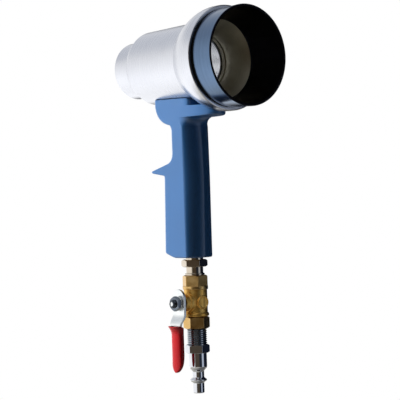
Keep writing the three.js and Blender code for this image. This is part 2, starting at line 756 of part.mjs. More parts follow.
const ptfe = material(0xe9e8e2, 0.5, 0);
const nickel = material(0xb7b0a4, 0.22, 1);
const platedSteel = material(0xc4c6ca, 0.18, 1);
place(column, 'hex_nipple', hexNipple(), nickel);
place(column, 'valve_body', valveBody(), brass.clone());
place(column, 'valve_end_cap', valveEndCap(), brass.clone());
place(column, 'ball_seat_upper', ballSeat(1), ptfe);
place(column, 'ball_seat_lower', ballSeat(-1), ptfe.clone());
place(column, 'valve_ball', valveBall(), nickel.clone());
place(column, 'valve_stem', valveStem(), platedSteel);
place(column, 'thrust_washer', thrustWasher(), ptfe.clone());
place(column, 'stem_seal', stemSeal(), blackRubber.clone());

// Lever, which turns with stem and ball
const leverSeat = stemShoulder + fitGap;
const leverFace = leverSeat + leverThickness;
const leverTop = leverHeadRise + leverWidth / 2;

// Flat outline in X and Z, given thickness from the axis of the column out to a stem station
function plate(shape, reach) {
  const settings = { depth: reach, bevelEnabled: false, curveSegments: leverHeadSteps };
  return solidOf(new THREE.ExtrudeGeometry(shape, settings).rotateX(Math.PI / 2));
}

function leverStrip(gap = 0) {
  const tail = leverSeat + leverJog;
  const bend = new THREE.Shape();
  bend.moveTo(leverTop, leverSeat - gap);
  bend.lineTo(leverTop, leverFace + gap);
  bend.lineTo(leverJogTop, leverFace + gap);
  bend.lineTo(leverJogFoot, tail + leverThickness + gap);
  bend.lineTo(leverFoot - gap, tail + leverThickness + gap);
  bend.lineTo(leverFoot - gap, tail - gap);
  bend.lineTo(leverJogFoot, tail - gap);
  bend.lineTo(leverJogTop, leverSeat - gap);
  const strip = new THREE.ExtrudeGeometry(bend, { depth: leverWidth * 2, bevelEnabled: false });
  const standing = new THREE.Matrix4().makeBasis(
    new THREE.Vector3(0, 0, 1),
    new THREE.Vector3(0, -1, 0),
    new THREE.Vector3(1, 0, 0),
  );
  return solidOf(strip.applyMatrix4(standing).translate(-leverWidth, 0, 0));
}

function leverOutline(gap = 0) {
  const half = leverWidth / 2 + gap;
  const tailHalf = leverTailWidth / 2 + gap;
  const outline = new THREE.Shape();
  outline.moveTo(-tailHalf, leverFoot - gap);
  outline.lineTo(tailHalf, leverFoot - gap);
  outline.lineTo(tailHalf, leverTaperFoot);
  outline.lineTo(half, leverTaperTop);
  outline.lineTo(half, leverHeadRise);
  outline.absarc(0, leverHeadRise, half, 0, Math.PI);
  outline.lineTo(-half, leverTaperTop);
  outline.lineTo(-tailHalf, leverTaperFoot);
  return outline;
}

function lever() {
  const reach = leverSeat + leverJog + leverThickness * 2;
  const head = plate(leverOutline(), reach);
  const hole = turnedOnStem(rod(0, stemEnd, stemThreadRadius + fitGap));
  return leverStrip().intersect(head).subtract(hole);
}

// Half width of the sleeve at a height: flared at the top, rounded off at the foot
function sleeveHalfWidth(height) {
  const half = gripBodyWidth / 2;
  const intoFlare = Math.max(0, 1 - (gripTop - height) / gripFlareHeight);
  const intoFoot = Math.max(0, 1 - (height - gripFoot) / gripRoundHeight);
  return half * Math.sqrt(1 - intoFoot ** 2) + (gripTopWidth / 2 - half) * intoFlare ** 2;
}

// The sleeve turns out at the top and thins from the valve side towards the foot
function sleeveSection(height) {
  const half = sleeveHalfWidth(height);
  const intoFlare = Math.max(0, 1 - (gripTop - height) / gripFlareHeight);
  const intoTaper = Math.max(0, 1 - (height - gripFoot) / gripTaperHeight);
  const lip = gripLipReach * intoFlare ** 2;
  const thickness = gripThickness - gripTaper * intoTaper ** 2 + lip;
  const outer = leverSeat + leverJog + leverThickness / 2 + gripThickness / 2 - gripInset + lip;
  const section = [];
  for (let i = 0; i < gripSectionSides; i += 1) {
    const angle = (i / gripSectionSides) * Math.PI * 2;
    const across = Math.sign(Math.cos(angle)) * Math.abs(Math.cos(angle)) ** (2 / gripSquareness);
    const deep = Math.sign(Math.sin(angle)) * Math.abs(Math.sin(angle)) ** (2 / gripSquareness);
    section.push([half * across, -outer + thickness / 2 + (thickness / 2) * deep]);
  }
  return section;
}

function leverGrip() {
  const heights = [];
  for (let i = 0; i <= gripCurveSteps; i += 1) {
    heights.push(gripTop - (gripFlareHeight * i) / gripCurveSteps);
  }
  for (let i = 0; i < gripRoundSteps; i += 1) {
    const angle = (i / gripRoundSteps) * (Math.PI / 2);
    heights.push(gripFoot + gripRoundHeight * (1 - Math.sin(angle)));
  }
  const sleeve = stacked(heights.map(sleeveSection), heights);
  const scoopRadius = (gripTopWidth ** 2 / 4 + gripScoop ** 2) / (2 * gripScoop);
  const scoopHeight = gripTop + scoopRadius - gripScoop;
  const scoop = turnedOnStem(rod(0, stemEnd * 2, scoopRadius)).translate([0, 0, scoopHeight]);
  const reach = leverSeat + leverJog + leverThickness * 2;
  const tail = leverStrip(fitGap).intersect(plate(leverOutline(fitGap), reach));
  return sleeve.subtract(scoop).subtract(tail);
}

const washerStart = leverFace + fitGap;
const nutStart = washerStart + washerThickness + fitGap;

function leverWasher() {
  return stemRing(washerStart, washerStart + washerThickness, stemThreadRadius + fitGap, washerRadius);
}

function leverNut() {
  const blank = hexagon(nutAcross, nutStart, nutStart + nutThickness, Math.PI / 6);
  const nut = solidOf(geometryOf(blank).rotateX(Math.PI / 2));
  return nut.subtract(turnedOnStem(rod(0, stemEnd, stemThreadRadius + fitGap)));
}

const redVinyl = material(0xc8202a, 0.38, 0);
place(column, 'lever', lever(), zincSteel.clone());
place(column, 'lever_grip', leverGrip(), redVinyl);
place(column, 'lever_washer', leverWasher(), zincSteel.clone());
place(column, 'lever_nut', leverNut(), platedSteel.clone());

// Quick plug with its pipe thread, hexagon and grooved nose
function couplerPlug() {
  const hexTop = capFoot - plugThreadShown;
  const hexFoot = hexTop - plugHexLength;
  const bodyFootStation = hexFoot - plugBodyLength;
  const neckTop = bodyFootStation - plugBodyTaper;
  const ridgeTop = neckTop - plugNeckLength;
  const ridgeFoot = ridgeTop - plugRidgeLength;
  const tip = ridgeFoot - plugNoseLength;
  const ridgeSlope = plugRidgeLength / 3;
  const nose = [[tip, 0], [tip, plugNoseRadius - plugNoseEdge], [tip + plugNoseEdge, plugNoseRadius]];
  nose.push([ridgeFoot, plugNoseRadius], [ridgeFoot + ridgeSlope, plugRidgeRadius]);
  nose.push([ridgeTop - ridgeSlope, plugRidgeRadius], [ridgeTop, plugNeckRadius]);
  nose.push([neckTop, plugNeckRadius]);
  nose.push([bodyFootStation, plugBodyRadius], [hexTop, plugBodyRadius]);
  const threadRoot = plugThreadRadius - plugThreadDepth;
  nose.push([hexTop, threadRoot]);
  const turns = Math.floor((plugTop - hexTop) / plugThreadPitch);
  for (let i = 0; i < turns; i += 1) {
    const crest = hexTop + (i + 0.5) * plugThreadPitch;
    nose.push([crest, plugThreadRadius], [crest + plugThreadPitch / 2, threadRoot]);
  }
  nose.push([plugTop, threadRoot], [plugTop, 0]);
  const hex = hexagon(plugHexAcross, hexFoot, hexTop, plugHexTurn);
  return turnedOnZ(nose).add(hex).subtract(turnedOnZ(rod(tip * 2, 0, plugBore)));
}

place(column, 'coupler_plug', couplerPlug(), platedSteel.clone());

export default group;
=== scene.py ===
# Looks of a hand-held air blower for drying paint: turned barrel with a black intake ring, blue moulded
# handle, and below it a nipple, a brass lever valve and a quick plug. Shapes are drawn in millimetres in
# the frame of the part and scaled to metres when a piece is finished.
import math

import bmesh
import bpy
from mathutils import Matrix, Vector


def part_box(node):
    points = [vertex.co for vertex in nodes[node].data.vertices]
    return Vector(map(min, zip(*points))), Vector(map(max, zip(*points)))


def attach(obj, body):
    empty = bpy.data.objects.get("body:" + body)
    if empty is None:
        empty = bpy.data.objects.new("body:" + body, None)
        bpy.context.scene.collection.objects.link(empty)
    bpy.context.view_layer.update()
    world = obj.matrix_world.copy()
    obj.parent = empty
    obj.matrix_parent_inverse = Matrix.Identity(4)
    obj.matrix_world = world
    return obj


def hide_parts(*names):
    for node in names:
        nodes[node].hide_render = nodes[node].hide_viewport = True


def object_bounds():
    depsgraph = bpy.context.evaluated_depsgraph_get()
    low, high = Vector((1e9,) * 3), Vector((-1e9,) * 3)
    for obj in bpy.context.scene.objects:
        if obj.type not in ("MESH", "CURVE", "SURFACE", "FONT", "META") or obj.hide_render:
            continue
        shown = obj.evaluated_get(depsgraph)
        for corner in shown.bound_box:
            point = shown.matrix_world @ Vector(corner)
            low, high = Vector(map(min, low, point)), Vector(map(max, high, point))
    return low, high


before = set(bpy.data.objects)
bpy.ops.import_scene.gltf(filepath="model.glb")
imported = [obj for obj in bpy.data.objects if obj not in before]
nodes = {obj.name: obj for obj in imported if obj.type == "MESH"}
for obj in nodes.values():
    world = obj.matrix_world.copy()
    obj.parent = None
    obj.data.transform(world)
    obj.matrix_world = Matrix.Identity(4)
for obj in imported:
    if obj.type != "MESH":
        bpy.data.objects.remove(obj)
cad_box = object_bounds()

MM = 0.001
TURN = math.tau
BLOWER = "blower"
LEVER = "valve_lever"
CREASE = math.radians(34)  # edges sharper than this stay sharp
PAST = 1.0  # a cutter reaches this far past the piece that it cuts
SINK = 1.0  # a turned piece reaches this far into the hexagon that it is joined to
NOISE_LOW, NOISE_HIGH = 0.35, 0.65  # most values of a noise texture lie between these


# Shapes

def span(node):
    """Lowest and highest corner of a CAD node, in millimetres."""
    low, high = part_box(node)
    return low / MM, high / MM


def wire(bm, points, closed=True):
    """A chain of corners, each (station, radius) or (station, radius, round), laid in the XZ plane."""
    corners = [bm.verts.new((p[0], 0, p[1])) for p in points]
    ends = corners[1:] + (corners[:1] if closed else [])
    for pair in zip(corners, ends):
        bm.edges.new(pair)
    for corner, point in zip(corners, points):
        if len(point) > 2:
            bmesh.ops.bevel(bm, geom=[corner], offset=point[2], offset_type="OFFSET", segments=4,
                            profile=0.5, affect="VERTICES", material=-1)


def lathe(points, axis="X", steps=160, closed=True):
    """A profile spun about X, or stood up on Z, or laid on -Y as the valve stem is."""
    bm = bmesh.new()
    wire(bm, points, closed)
    bmesh.ops.spin(bm, geom=bm.verts[:] + bm.edges[:], cent=(0, 0, 0), axis=(1, 0, 0), dvec=(0, 0, 0),
                   angle=TURN, steps=steps, use_merge=True)
    bmesh.ops.remove_doubles(bm, verts=bm.verts, dist=1e-4)
    bmesh.ops.recalc_face_normals(bm, faces=bm.faces)
    if axis == "Z":
        bmesh.ops.rotate(bm, verts=bm.verts, matrix=Matrix.Rotation(-TURN / 4, 3, "Y"))
    if axis == "-Y":
        bmesh.ops.rotate(bm, verts=bm.verts, matrix=Matrix.Rotation(-TURN / 4, 3, "Z"))
    return bm


def loft(sections):
    """Rings of equal count, each a list of points, joined one to the next and closed at both ends."""
    bm = bmesh.new()
    rings = []
    for section in sections:
        ring = [bm.verts.new(point) for point in section]
        rings.append([bm.edges.new(pair) for pair in zip(ring, ring[1:] + ring[:1])])
    for ring, following in zip(rings, rings[1:]):
        bmesh.ops.bridge_loops(bm, edges=ring + following)
    bmesh.ops.contextual_create(bm, geom=rings[0])
    bmesh.ops.contextual_create(bm, geom=rings[-1])
    bmesh.ops.recalc_face_normals(bm, faces=bm.faces)
    return bm


def mesh_object(name, bm):
    mesh = bpy.data.meshes.new(name)
    bm.to_mesh(mesh)
    bm.free()
    piece = bpy.data.objects.new(name, mesh)
    bpy.context.scene.collection.objects.link(piece)
    return piece


def evaluated(piece):
    """The mesh of a helper object with its modifiers applied; the helper is removed."""
    bpy.context.view_layer.update()
    bm = bmesh.new()
    bm.from_object(piece, bpy.context.evaluated_depsgraph_get())
    mesh = piece.data
    bpy.data.objects.remove(piece)
    bpy.data.meshes.remove(mesh)
    return bm


def combined(bm, other, operation):
    """One closed shape cut by, joined to or trimmed by another."""
    base = mesh_object("base", bm)
    tool = mesh_object("tool", other)
    step = base.modifiers.new("step", "BOOLEAN")
    step.object = tool
    step.operation = operation
    step.solver = "MANIFOLD"
    result = evaluated(base)
    tool_mesh = tool.data
    bpy.data.objects.remove(tool)
    bpy.data.meshes.remove(tool_mesh)
    return result


def moved(bm, y=0.0, z=0.0):
    bmesh.ops.translate(bm, verts=bm.verts, vec=(0, y, z))
    return bm


def hexagon(across, low, high, turn=0.0, chamfer_low=True):
    """Hexagon bar on Z whose corners are turned off at 30 degrees, as on a nut."""
    corner = across / math.sqrt(3)
    bm = bmesh.new()
    bmesh.ops.create_circle(bm, cap_ends=True, segments=6, radius=corner)
    grown = bmesh.ops.extrude_face_region(bm, geom=bm.faces[:])
    top = [v for v in grown["geom"] if isinstance(v, bmesh.types.BMVert)]
    bmesh.ops.translate(bm, verts=bm.verts, vec=(0, 0, low))
    bmesh.ops.translate(bm, verts=top, vec=(0, 0, high - low))
    bmesh.ops.rotate(bm, verts=bm.verts, matrix=Matrix.Rotation(turn, 3, "Z"))
    bmesh.ops.recalc_face_normals(bm, faces=bm.faces)
    sides = [e for e in bm.edges if abs(e.verts[0].co.z - e.verts[1].co.z) > across / 100]
    bmesh.ops.bevel(bm, geom=sides, offset=across / 50, offset_type="OFFSET", segments=2, profile=0.5,
                    affect="EDGES", material=-1)
    wide = corner * 1.05  # clear of the corners
    flat = across * 0.485  # just inside the flats
    drop = (wide - flat) * math.tan(TURN / 12)
    blank = [(low, 0), (low, flat), (low + drop, wide)] if chamfer_low else [(low, 0), (low, wide)]
    blank += [(high - drop, wide), (high, flat), (high, 0)]
    return combined(bm, lathe(blank, "Z", 72, False), "INTERSECT")


def coil(root, depth, pitch, start, end, steps=40):
    """One V-shaped thread ridge, wound from a start to an end along Z, sunk a little in its root."""
    bm = bmesh.new()
    half = pitch * 0.46
    foot, foot_half = root - depth * 0.3, half * 1.2
    shoulder, shoulder_half = root + depth * 0.86, half * 0.2
    corners = [(foot, -foot_half), (shoulder, -shoulder_half), (root + depth, 0),
               (shoulder, shoulder_half), (foot, foot_half)]
    section = [bm.verts.new((radius, 0, start + height)) for radius, height in corners]
    face = bm.faces.new(section)
    turns = (end - start) / pitch
    bmesh.ops.spin(bm, geom=[face, *section, *face.edges], cent=(0, 0, 0), axis=(0, 0, 1),
                   dvec=(0, 0, pitch / steps), angle=TURN * turns, steps=round(turns * steps))
    bmesh.ops.recalc_face_normals(bm, faces=bm.faces)
    return bm


def finished(name, bm, body, materials, replaces=()):
    """Scales a shape to metres, shades it smooth up to its creases and fixes it to a body of the frame."""
    bmesh.ops.scale(bm, vec=(MM, MM, MM), verts=bm.verts)
    for face in bm.faces:
        face.smooth = True
    for edge in bm.edges:
        edge.smooth = len(edge.link_faces) == 2 and edge.calc_face_angle(0.0) < CREASE
    piece = mesh_object(name, bm)
    for finish in materials:
        piece.data.materials.append(finish)
    even = piece.modifiers.new("even_shading", "WEIGHTED_NORMAL")
    even.mode = "FACE_AREA"
    even.weight = 100
    even.keep_sharp = True
    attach(piece, body)
    if replaces:
        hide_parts(*replaces)


# Finishes

def linear(code):
    """An sRGB hex colour as linear RGBA."""
    shares = [int(code[i:i + 2], 16) / 255 for i in (1, 3, 5)]
    return (*[s / 12.92 if s <= 0.04045 else ((s + 0.055) / 1.055) ** 2.4 for s in shares], 1.0)


def add(tree, kind, stops=(), **settings):
    """Adds a node with its settings and links. A setting is a property, an input's value, or an input's
    source as (node, output); inputs go by name, or as in0, in1 and so on. Stops are the (position, hex
    colour) pairs of a colour ramp."""
    node = tree.nodes.new(kind)
    while stops and len(node.color_ramp.elements) < len(stops):
        node.color_ramp.elements.new(1.0)
    for i, (position, code) in enumerate(stops):
        node.color_ramp.elements[i].position = position
        node.color_ramp.elements[i].color = linear(code)
    for key, value in settings.items():
        if hasattr(node, key):
            setattr(node, key, value)
            continue
        socket = node.inputs[int(key[2:])] if key[2:].isdigit() else node.inputs[key.replace("_", " ")]
        if isinstance(value, tuple) and isinstance(value[0], bpy.types.Node):
            tree.links.new(value[0].outputs[value[1]], socket)
        else:
            socket.default_value = value
    return node


def surface(name):
    """A new material with its node tree, its shader and the object's own coordinates."""
    finish = bpy.data.materials.new(name)
    finish.use_nodes = True
    tree = finish.node_tree
    shader = tree.nodes["Principled BSDF"]
    place = add(tree, "ShaderNodeTexCoord")
    return finish, tree, shader, place


def dress(tree, shader, tone, colours, shade, rough, height, strength, depth):
    """Colours a shader by a tone, roughens it by a shade and bumps it by a height. Each of these is the
    (node, output) of a noise; the depth of the bump is in millimetres."""
    colour = add(tree, "ShaderNodeValToRGB", [(NOISE_LOW, colours[0]), (NOISE_HIGH, colours[1])], Fac=tone)
    roughness = add(tree, "ShaderNodeMapRange", in0=shade, in1=NOISE_LOW, in2=NOISE_HIGH, in3=rough[0],
                    in4=rough[1])
    bump = add(tree, "ShaderNodeBump", Height=height, Strength=strength, Distance=depth * MM)
    tree.links.new(colour.outputs["Color"], shader.inputs["Base Color"])
    tree.links.new(roughness.outputs["Result"], shader.inputs["Roughness"])
    tree.links.new(bump.outputs["Normal"], shader.inputs["Normal"])


def per_mm(size):
    """Texture scale for a pattern whose features are this many millimetres apart."""
    return 1.0 / (size * MM)


def turned_metal(name, colours, rough, line_spacing, line_depth):
    """Lathe-turned aluminium: fine rings round the axis, seen as streaks that run round the barrel.
    Real tool marks are about 0.1 mm apart; they are drawn wider here so that they show."""
    stain_size = 18
    finish, tree, shader, place = surface(name)
    shader.inputs["Metallic"].default_value = 1.0
    along = add(tree, "ShaderNodeSeparateXYZ", Vector=(place, "Object"))
    rings = add(tree, "ShaderNodeTexNoise", noise_dimensions="1D", W=(along, "X"), Scale=per_mm(line_spacing),
                Detail=3.0, Roughness=0.6)
    stains = add(tree, "ShaderNodeTexNoise", Vector=(place, "Object"), Scale=per_mm(stain_size), Detail=2.0)
    shade = add(tree, "ShaderNodeMix", Factor=0.5, in2=(rings, "Fac"), in3=(stains, "Fac"))
    dress(tree, shader, (shade, 0), colours, (shade, 0), rough, (rings, "Fac"), strength=0.3,
          depth=line_depth)
    return finish


def grained(name, colours, rough, grain, depth, blotch, metallic=0.0, ior=None, specular=0.5):
    """A moulded, pressed or plated surface: soft blotches of two close colours and a fine even grain.
    The real grain is too fine to show, so it is drawn coarser, about 1 mm apart on most finishes."""
    finish, tree, shader, place = surface(name)
    shader.inputs["Metallic"].default_value = metallic
    shader.inputs["Specular IOR Level"].default_value = specular
    if ior:
        shader.inputs["IOR"].default_value = ior
    blotches = add(tree, "ShaderNodeTexNoise", Vector=(place, "Object"), Scale=per_mm(blotch), Detail=3.0)
    pits = add(tree, "ShaderNodeTexNoise", Vector=(place, "Object"), Scale=per_mm(grain), Detail=2.0)
    shade = add(tree, "ShaderNodeMix", Factor=0.5, in2=(blotches, "Fac"), in3=(pits, "Fac"))
    dress(tree, shader, (blotches, "Fac"), colours, (shade, 0), rough, (pits, "Fac"), strength=0.4,
          depth=depth)
    return finish


# Turned aluminium of the barrel: pale satin metal with faint rings
barrel_aluminium = turned_metal("turned_aluminium", ("#CBCDD4", "#D4D6DC"), (0.24, 0.31), 1.1, 0.003)
# The same aluminium inside the throat, painted brighter: a painted highlight where light comes through the
# outlet
bore_painted_bright = turned_metal("aluminium_painted_bright_bore", ("#E6E7EA", "#EDEEF0"), (0.24, 0.31), 1.1, 0.002)
# Bare aluminium of the bell: duller, with plainer tool marks
bell_metal = turned_metal("bare_turned_aluminium", ("#D4CEB8", "#DDD7C2"), (0.50, 0.60), 0.9, 0.006)
# Black anodised aluminium, polished: a dark mirror whose blue cast is a painted reflection
ring_painted_reflection = turned_metal("black_anodised_painted_reflection", ("#526782", "#5C728F"), (0.16, 0.22), 2.0, 0.001)
# The same anodising left as turned inside the funnel: satin black
funnel_black = turned_metal("black_anodised_satin", ("#131317", "#1A1A1F"), (0.34, 0.44), 1.2, 0.004)
# Nitrile rubber, moulded: matt black
rubber = grained("nitrile_rubber", ("#0B0C0D", "#101113"), (0.66, 0.80), 0.5, 0.012, blotch=9.0, ior=1.52,
                 specular=0.15)
# Polyamide, injection moulded: satin blue with a fine even grain
polyamide = grained("blue_polyamide", ("#2A68A4", "#2E6CA9"), (0.32, 0.38), 0.8, 0.003, blotch=24.0, ior=1.53,
                    specular=0.8)
# Zinc plate on cold-rolled strip: pale and slightly cloudy
zinc = grained("bright_zinc_plate", ("#DDE1E1", "#E6E9E9"), (0.26, 0.34), 0.9, 0.001, blotch=5.0,
               metallic=1.0)
# Nickel plate on turned brass: a warm mirror
nickel = grained("nickel_plate", ("#BDB2A1", "#C9BFB0"), (0.11, 0.17), 1.0, 0.0008, blotch=6.0,
                 metallic=1.0)
# Brass, hot pressed: golden brown skin, dulled and slightly uneven
pressed_brass = grained("pressed_brass", ("#DDAC55", "#E9BF6B"), (0.38, 0.48), 0.9, 0.006, blotch=3.2,
                        metallic=1.0)
# Brass, machined: cleaner and brighter than the pressed skin
machined_brass = grained("machined_brass", ("#C8A263", "#D6B478"), (0.28, 0.38), 1.2, 0.002, blotch=5.0,
                         metallic=1.0)
# PTFE, turned: waxy white
ptfe = grained("ptfe", ("#E4E3DD", "#EEEDE8"), (0.42, 0.52), 0.6, 0.004, blotch=9.0, ior=1.35)
# Vinyl dipped over the lever: glossy red, slightly wavy
vinyl = grained("red_vinyl", ("#BE101A", "#C6141E"), (0.28, 0.34), 2.4, 0.002, blotch=9.0, ior=1.54,
                specular=0.25)
# Plated steel of the pipe thread, painted greyer than the plug as shade, so that its ridges show
thread_painted_shade = grained("thread_plate_painted_shade", ("#7F8790", "#949BA4"), (0.20, 0.28), 0.9, 0.001, blotch=4.0,
                     metallic=1.0)
# Plated steel of the nut, drawn as a darker grey mirror: a painted dark reflection
nut_painted_dark = grained("plated_nut_painted_dark", ("#5A626C", "#6E7680"), (0.16, 0.24), 0.9, 0.001, blotch=3.0,
                    metallic=1.0)
# Steel on the side of the stem, painted dark as shade: draws a ring round its bright end
steel_painted_shade = grained("steel_painted_shade", ("#3C4148", "#4A5058"), (0.22, 0.30), 0.9, 0.001, blotch=4.0,
                      metallic=1.0)
# Bright plate on turned steel: near mirror
bright_plate = grained("bright_plated_steel", ("#C6C8CD", "#CFD1D5"), (0.07, 0.11), 1.2, 0.0006, blotch=6.0,
                       metallic=1.0)


# Barrel, on an axis along X above the handle

shell_low, shell_high = span("barrel_shell")
tube_low, tube_high = span("venturi_tube")
bell_low, bell_high = span("jet_bell")
ring_low, ring_high = span("intake_ring")
band_low, band_high = span("ring_band")
barrel_z = (shell_low.z + shell_high.z) / 2
flange_radius = (shell_high.z - shell_low.z) / 2
fit_gap = 0.3  # between pieces that seat on, or fit into, each other
shoulder_radius, shoulder_length, flange_edge = 24.4, 3.6, 1.0
front_radius, rear_radius = 26.2, 27.4
front_wall = 4.7  # of the shell round the venturi tube
flare_start, flare_length = 17.2, 23.3
plenum_radius, outlet_radius, throat_radius = 23.5, 20.3, 17.0
tube_wall, bell_throat_radius, bell_seat = 2.6, 18.0, 24.3
band_height, mouth_wall, bell_wall = 2.5, 1.8, 1.7
band_radius = (band_high.z - band_low.z) / 2
spigot_radius = band_radius - band_height
bell_radius = (bell_high.z - bell_low.z) / 2
ring_radius = (ring_high.z - ring_low.z) / 2
mouth_radius = ring_radius - mouth_wall
funnel_radius = bell_radius - bell_wall


def shell_outline(margin=0.0):
    """Outside of the shell from its front chamfer to the flange."""
    front_edge, shoulder_edge, count = 0.3, 0.35, 14
    outline = [(shell_low.x, shoulder_radius + margin, front_edge),
               (shell_low.x + shoulder_length, front_radius + margin, shoulder_edge)]
    for i in range(count + 1):
        share = i / count
        rise = math.sin(share * TURN / 4)
        outline.append((flare_start + flare_length * share,
                        rear_radius + (flange_radius - rear_radius) * rise + margin))
    return outline


def two_sided(bm):
    """Gives the first finish to faces that look away from the X axis and the second to the rest."""
    least = 0.9  # of a face that looks straight away from the axis
    for face in bm.faces:
        middle = face.calc_center_median()
        outward = face.normal.y * middle.y + face.normal.z * middle.z
        face.material_index = 0 if outward > least * math.hypot(middle.y, middle.z) else 1
    return bm


def barrel_shell():
    end_wall = shell_low.x + front_wall
    profile = [(shell_low.x, outlet_radius + fit_gap), *shell_outline()]
    profile += [(shell_high.x, flange_radius, flange_edge), (shell_high.x, spigot_radius)]
    profile += [(ring_low.x, spigot_radius), (ring_low.x, bell_radius + fit_gap)]
    profile += [(bell_seat, bell_radius + fit_gap), (bell_seat, plenum_radius)]
    profile += [(end_wall, plenum_radius), (end_wall, outlet_radius + fit_gap)]
    return moved(lathe(profile), z=barrel_z)


def venturi_tube():
    inner_edge, outer_edge, lip_edge, lip = 0.5, 0.7, 0.4, 1.2
    flange = plenum_radius - fit_gap
    flange_front = shell_low.x + front_wall + fit_gap
    flange_back = flange_front + 3.0
    wall = throat_radius + tube_wall
    profile = [(tube_low.x, throat_radius, inner_edge), (tube_low.x, outlet_radius, outer_edge)]
    profile += [(flange_front, outlet_radius), (flange_front, flange), (flange_back, flange)]
    profile += [(flange_back, wall), (tube_high.x - lip, wall), (tube_high.x, wall - lip, lip_edge)]
    profile += [(tube_high.x, throat_radius, lip_edge)]
    return moved(two_sided(lathe(profile, steps=144)), z=barrel_z)


def jet_bell():
    throat_edge, step_edge, count = 0.4, 0.3, 22
    nose, seat = plenum_radius - fit_gap, bell_seat + fit_gap
    step_start, step_foot, step_top = bell_low.x + 2.4, bell_throat_radius + 0.5, bell_throat_radius + 1.4
    profile = [(bell_low.x, bell_throat_radius, throat_edge), (bell_low.x, nose), (seat, nose)]
    profile += [(seat, bell_radius), (bell_high.x, bell_radius)]
    for i in range(count + 1):
        share = 1 - i / count
        rise = 1 - math.cos(share * TURN / 4)
        profile.append((step_start + (bell_high.x - step_start) * share,
                        step_top + (funnel_radius - step_top) * rise))
    profile.append((step_start, step_foot, step_edge))
    return moved(lathe(profile, steps=144), z=barrel_z)


def intake_ring():
    flare, shoulder_edge, rim_edge, mouth_edge = 0.7, 0.35, 0.45, 0.6
    shoulder = band_high.x + fit_gap
    spigot = spigot_radius - fit_gap
    profile = [(ring_low.x, funnel_radius), (ring_low.x, spigot), (shoulder, spigot)]
    profile += [(shoulder, ring_radius - flare, shoulder_edge), (ring_high.x, ring_radius, rim_edge)]
    profile += [(ring_high.x, mouth_radius, mouth_edge)]
    return moved(two_sided(lathe(profile)), z=barrel_z)


def ring_band():
    edge = 0.25
    profile = [(band_low.x, spigot_radius), (band_low.x, band_radius, edge)]
    profile += [(band_high.x, band_radius, edge), (band_high.x, spigot_radius)]
    return moved(lathe(profile), z=barrel_z)


finished("barrel_shell_turned", barrel_shell(), BLOWER, [barrel_aluminium],
         ["barrel_shell"])
# The bore takes the brighter aluminium, a painted highlight
finished("venturi_tube_turned", venturi_tube(), BLOWER,
         [barrel_aluminium, bore_painted_bright], ["venturi_tube"])
finished("jet_bell_turned", jet_bell(), BLOWER, [bell_metal], ["jet_bell"])
# Outside: the anodising with its painted blue reflection; inside and on the rim's front: satin black
finished("intake_ring_anodised", intake_ring(), BLOWER, [ring_painted_reflection, funnel_black],
         ["intake_ring"])
finished("ring_band_rubber", ring_band(), BLOWER, [rubber], ["ring_band"])


# Handle: drops are counted down from the barrel axis, reaches from the axis of the air column

grip_low, grip_high = span("handle_grip")
grip_length = barrel_z - grip_low.z
half_width = (grip_high.y - grip_low.y) / 2
fin_reach = -grip_low.x
tail_reach = grip_high.x
saddle_gap = 0.4
foot_edge, foot_corner = 1.2, 1.68  # rounding of the foot at the back and at the front
grip_top = 18.0  # inside the barrel, which cuts the saddle
tail_top, tail_under, fillet_drop = 29.9, 37.9, 44.0


def curve(start, control, end, count=9):
    """Points of a quadratic curve after its start."""
    points = []
    for i in range(1, count + 1):
        t = i / count
        points.append(tuple(a * (1 - t) ** 2 + 2 * b * t * (1 - t) + c * t * t
                            for a, b, c in zip(start, control, end)))
    return points


def front_outline():
    """(reach, drop) down the front: saddle, finger recess, finger rest and strap."""
    saddle, corner, foot = 25.6, 29.0, (10.0, 42.6)
    saddle_lean, foot_rise, root_rise = 2.0, 2.4, 2.0
    recess, recess_top, recess_foot = 8.2, 47.0, 61.5
    root, strap_top, strap_foot = (13.5, 69.4), 17.6, 19.3
    tip_drop, tip_round, rest_foot = 75.2, 1.1, 77.6
    chamfer_reach, chamfer = 9.4, grip_length - 3.0
    strap_turn = [(strap_foot, chamfer - foot_corner), (strap_foot, chamfer - 0.4),
                  (strap_foot - foot_corner, chamfer + 0.2)]
    outline = [(saddle, grip_top), (saddle, corner)]
    outline += curve(outline[-1], (saddle - saddle_lean, foot[1] - foot_rise), foot)
    outline += curve(outline[-1], (recess, (foot[1] + recess_top) / 2), (recess, recess_top))
    outline += [(recess, recess_foot)]
    outline += curve(outline[-1], (recess, root[1] - root_rise), root)
    outline += [(fin_reach - tip_round, tip_drop - tip_round)]
    under_tip = (fin_reach - tip_round * 2, tip_drop + tip_round / 2)
    outline += curve(outline[-1], (fin_reach, tip_drop), under_tip)
    outline += [(strap_top + tip_round, rest_foot)]
    outline += curve(outline[-1], (strap_top, rest_foot), (strap_top, rest_foot + tip_round * 2), 5)
    outline += [strap_turn[0], *curve(*strap_turn, 5)]
    outline += [(chamfer_reach + 1, grip_length - 0.3), (chamfer_reach, grip_length)]
    return outline


def back_outline():
    """(reach, drop) down the back: saddle, tail and palm side."""
    saddle, tail_tip, tail_root, foot = 13.4, 35.8, 18.6, 11.8
    fillet, bulge = (11.4, fillet_drop), (13.1, 84.0)
    upper_turn = [(tail_reach - 1.6, tail_top + 0.35), (tail_reach, tail_top + 0.5),
                  (tail_reach, tail_top + 2.2)]
    lower_turn = [(tail_reach, tail_tip), (tail_reach, tail_under - 0.2),
                  (tail_reach - 2.4, tail_under - 0.1)]
    outline = [(saddle, grip_top), (saddle, tail_top), upper_turn[0], *curve(*upper_turn, 5)]
    outline += [lower_turn[0], *curve(*lower_turn, 5), (tail_root, tail_under)]
    outline += curve(outline[-1], (fillet[0], tail_under + 1), fillet)
    outline += curve(outline[-1], (bulge[0], (fillet[1] + bulge[1]) / 2), bulge)
    outline += [(foot, grip_length - foot_edge)]
    outline += curve(outline[-1], (foot, grip_length), (foot - foot_edge, grip_length), 4)
    return outline


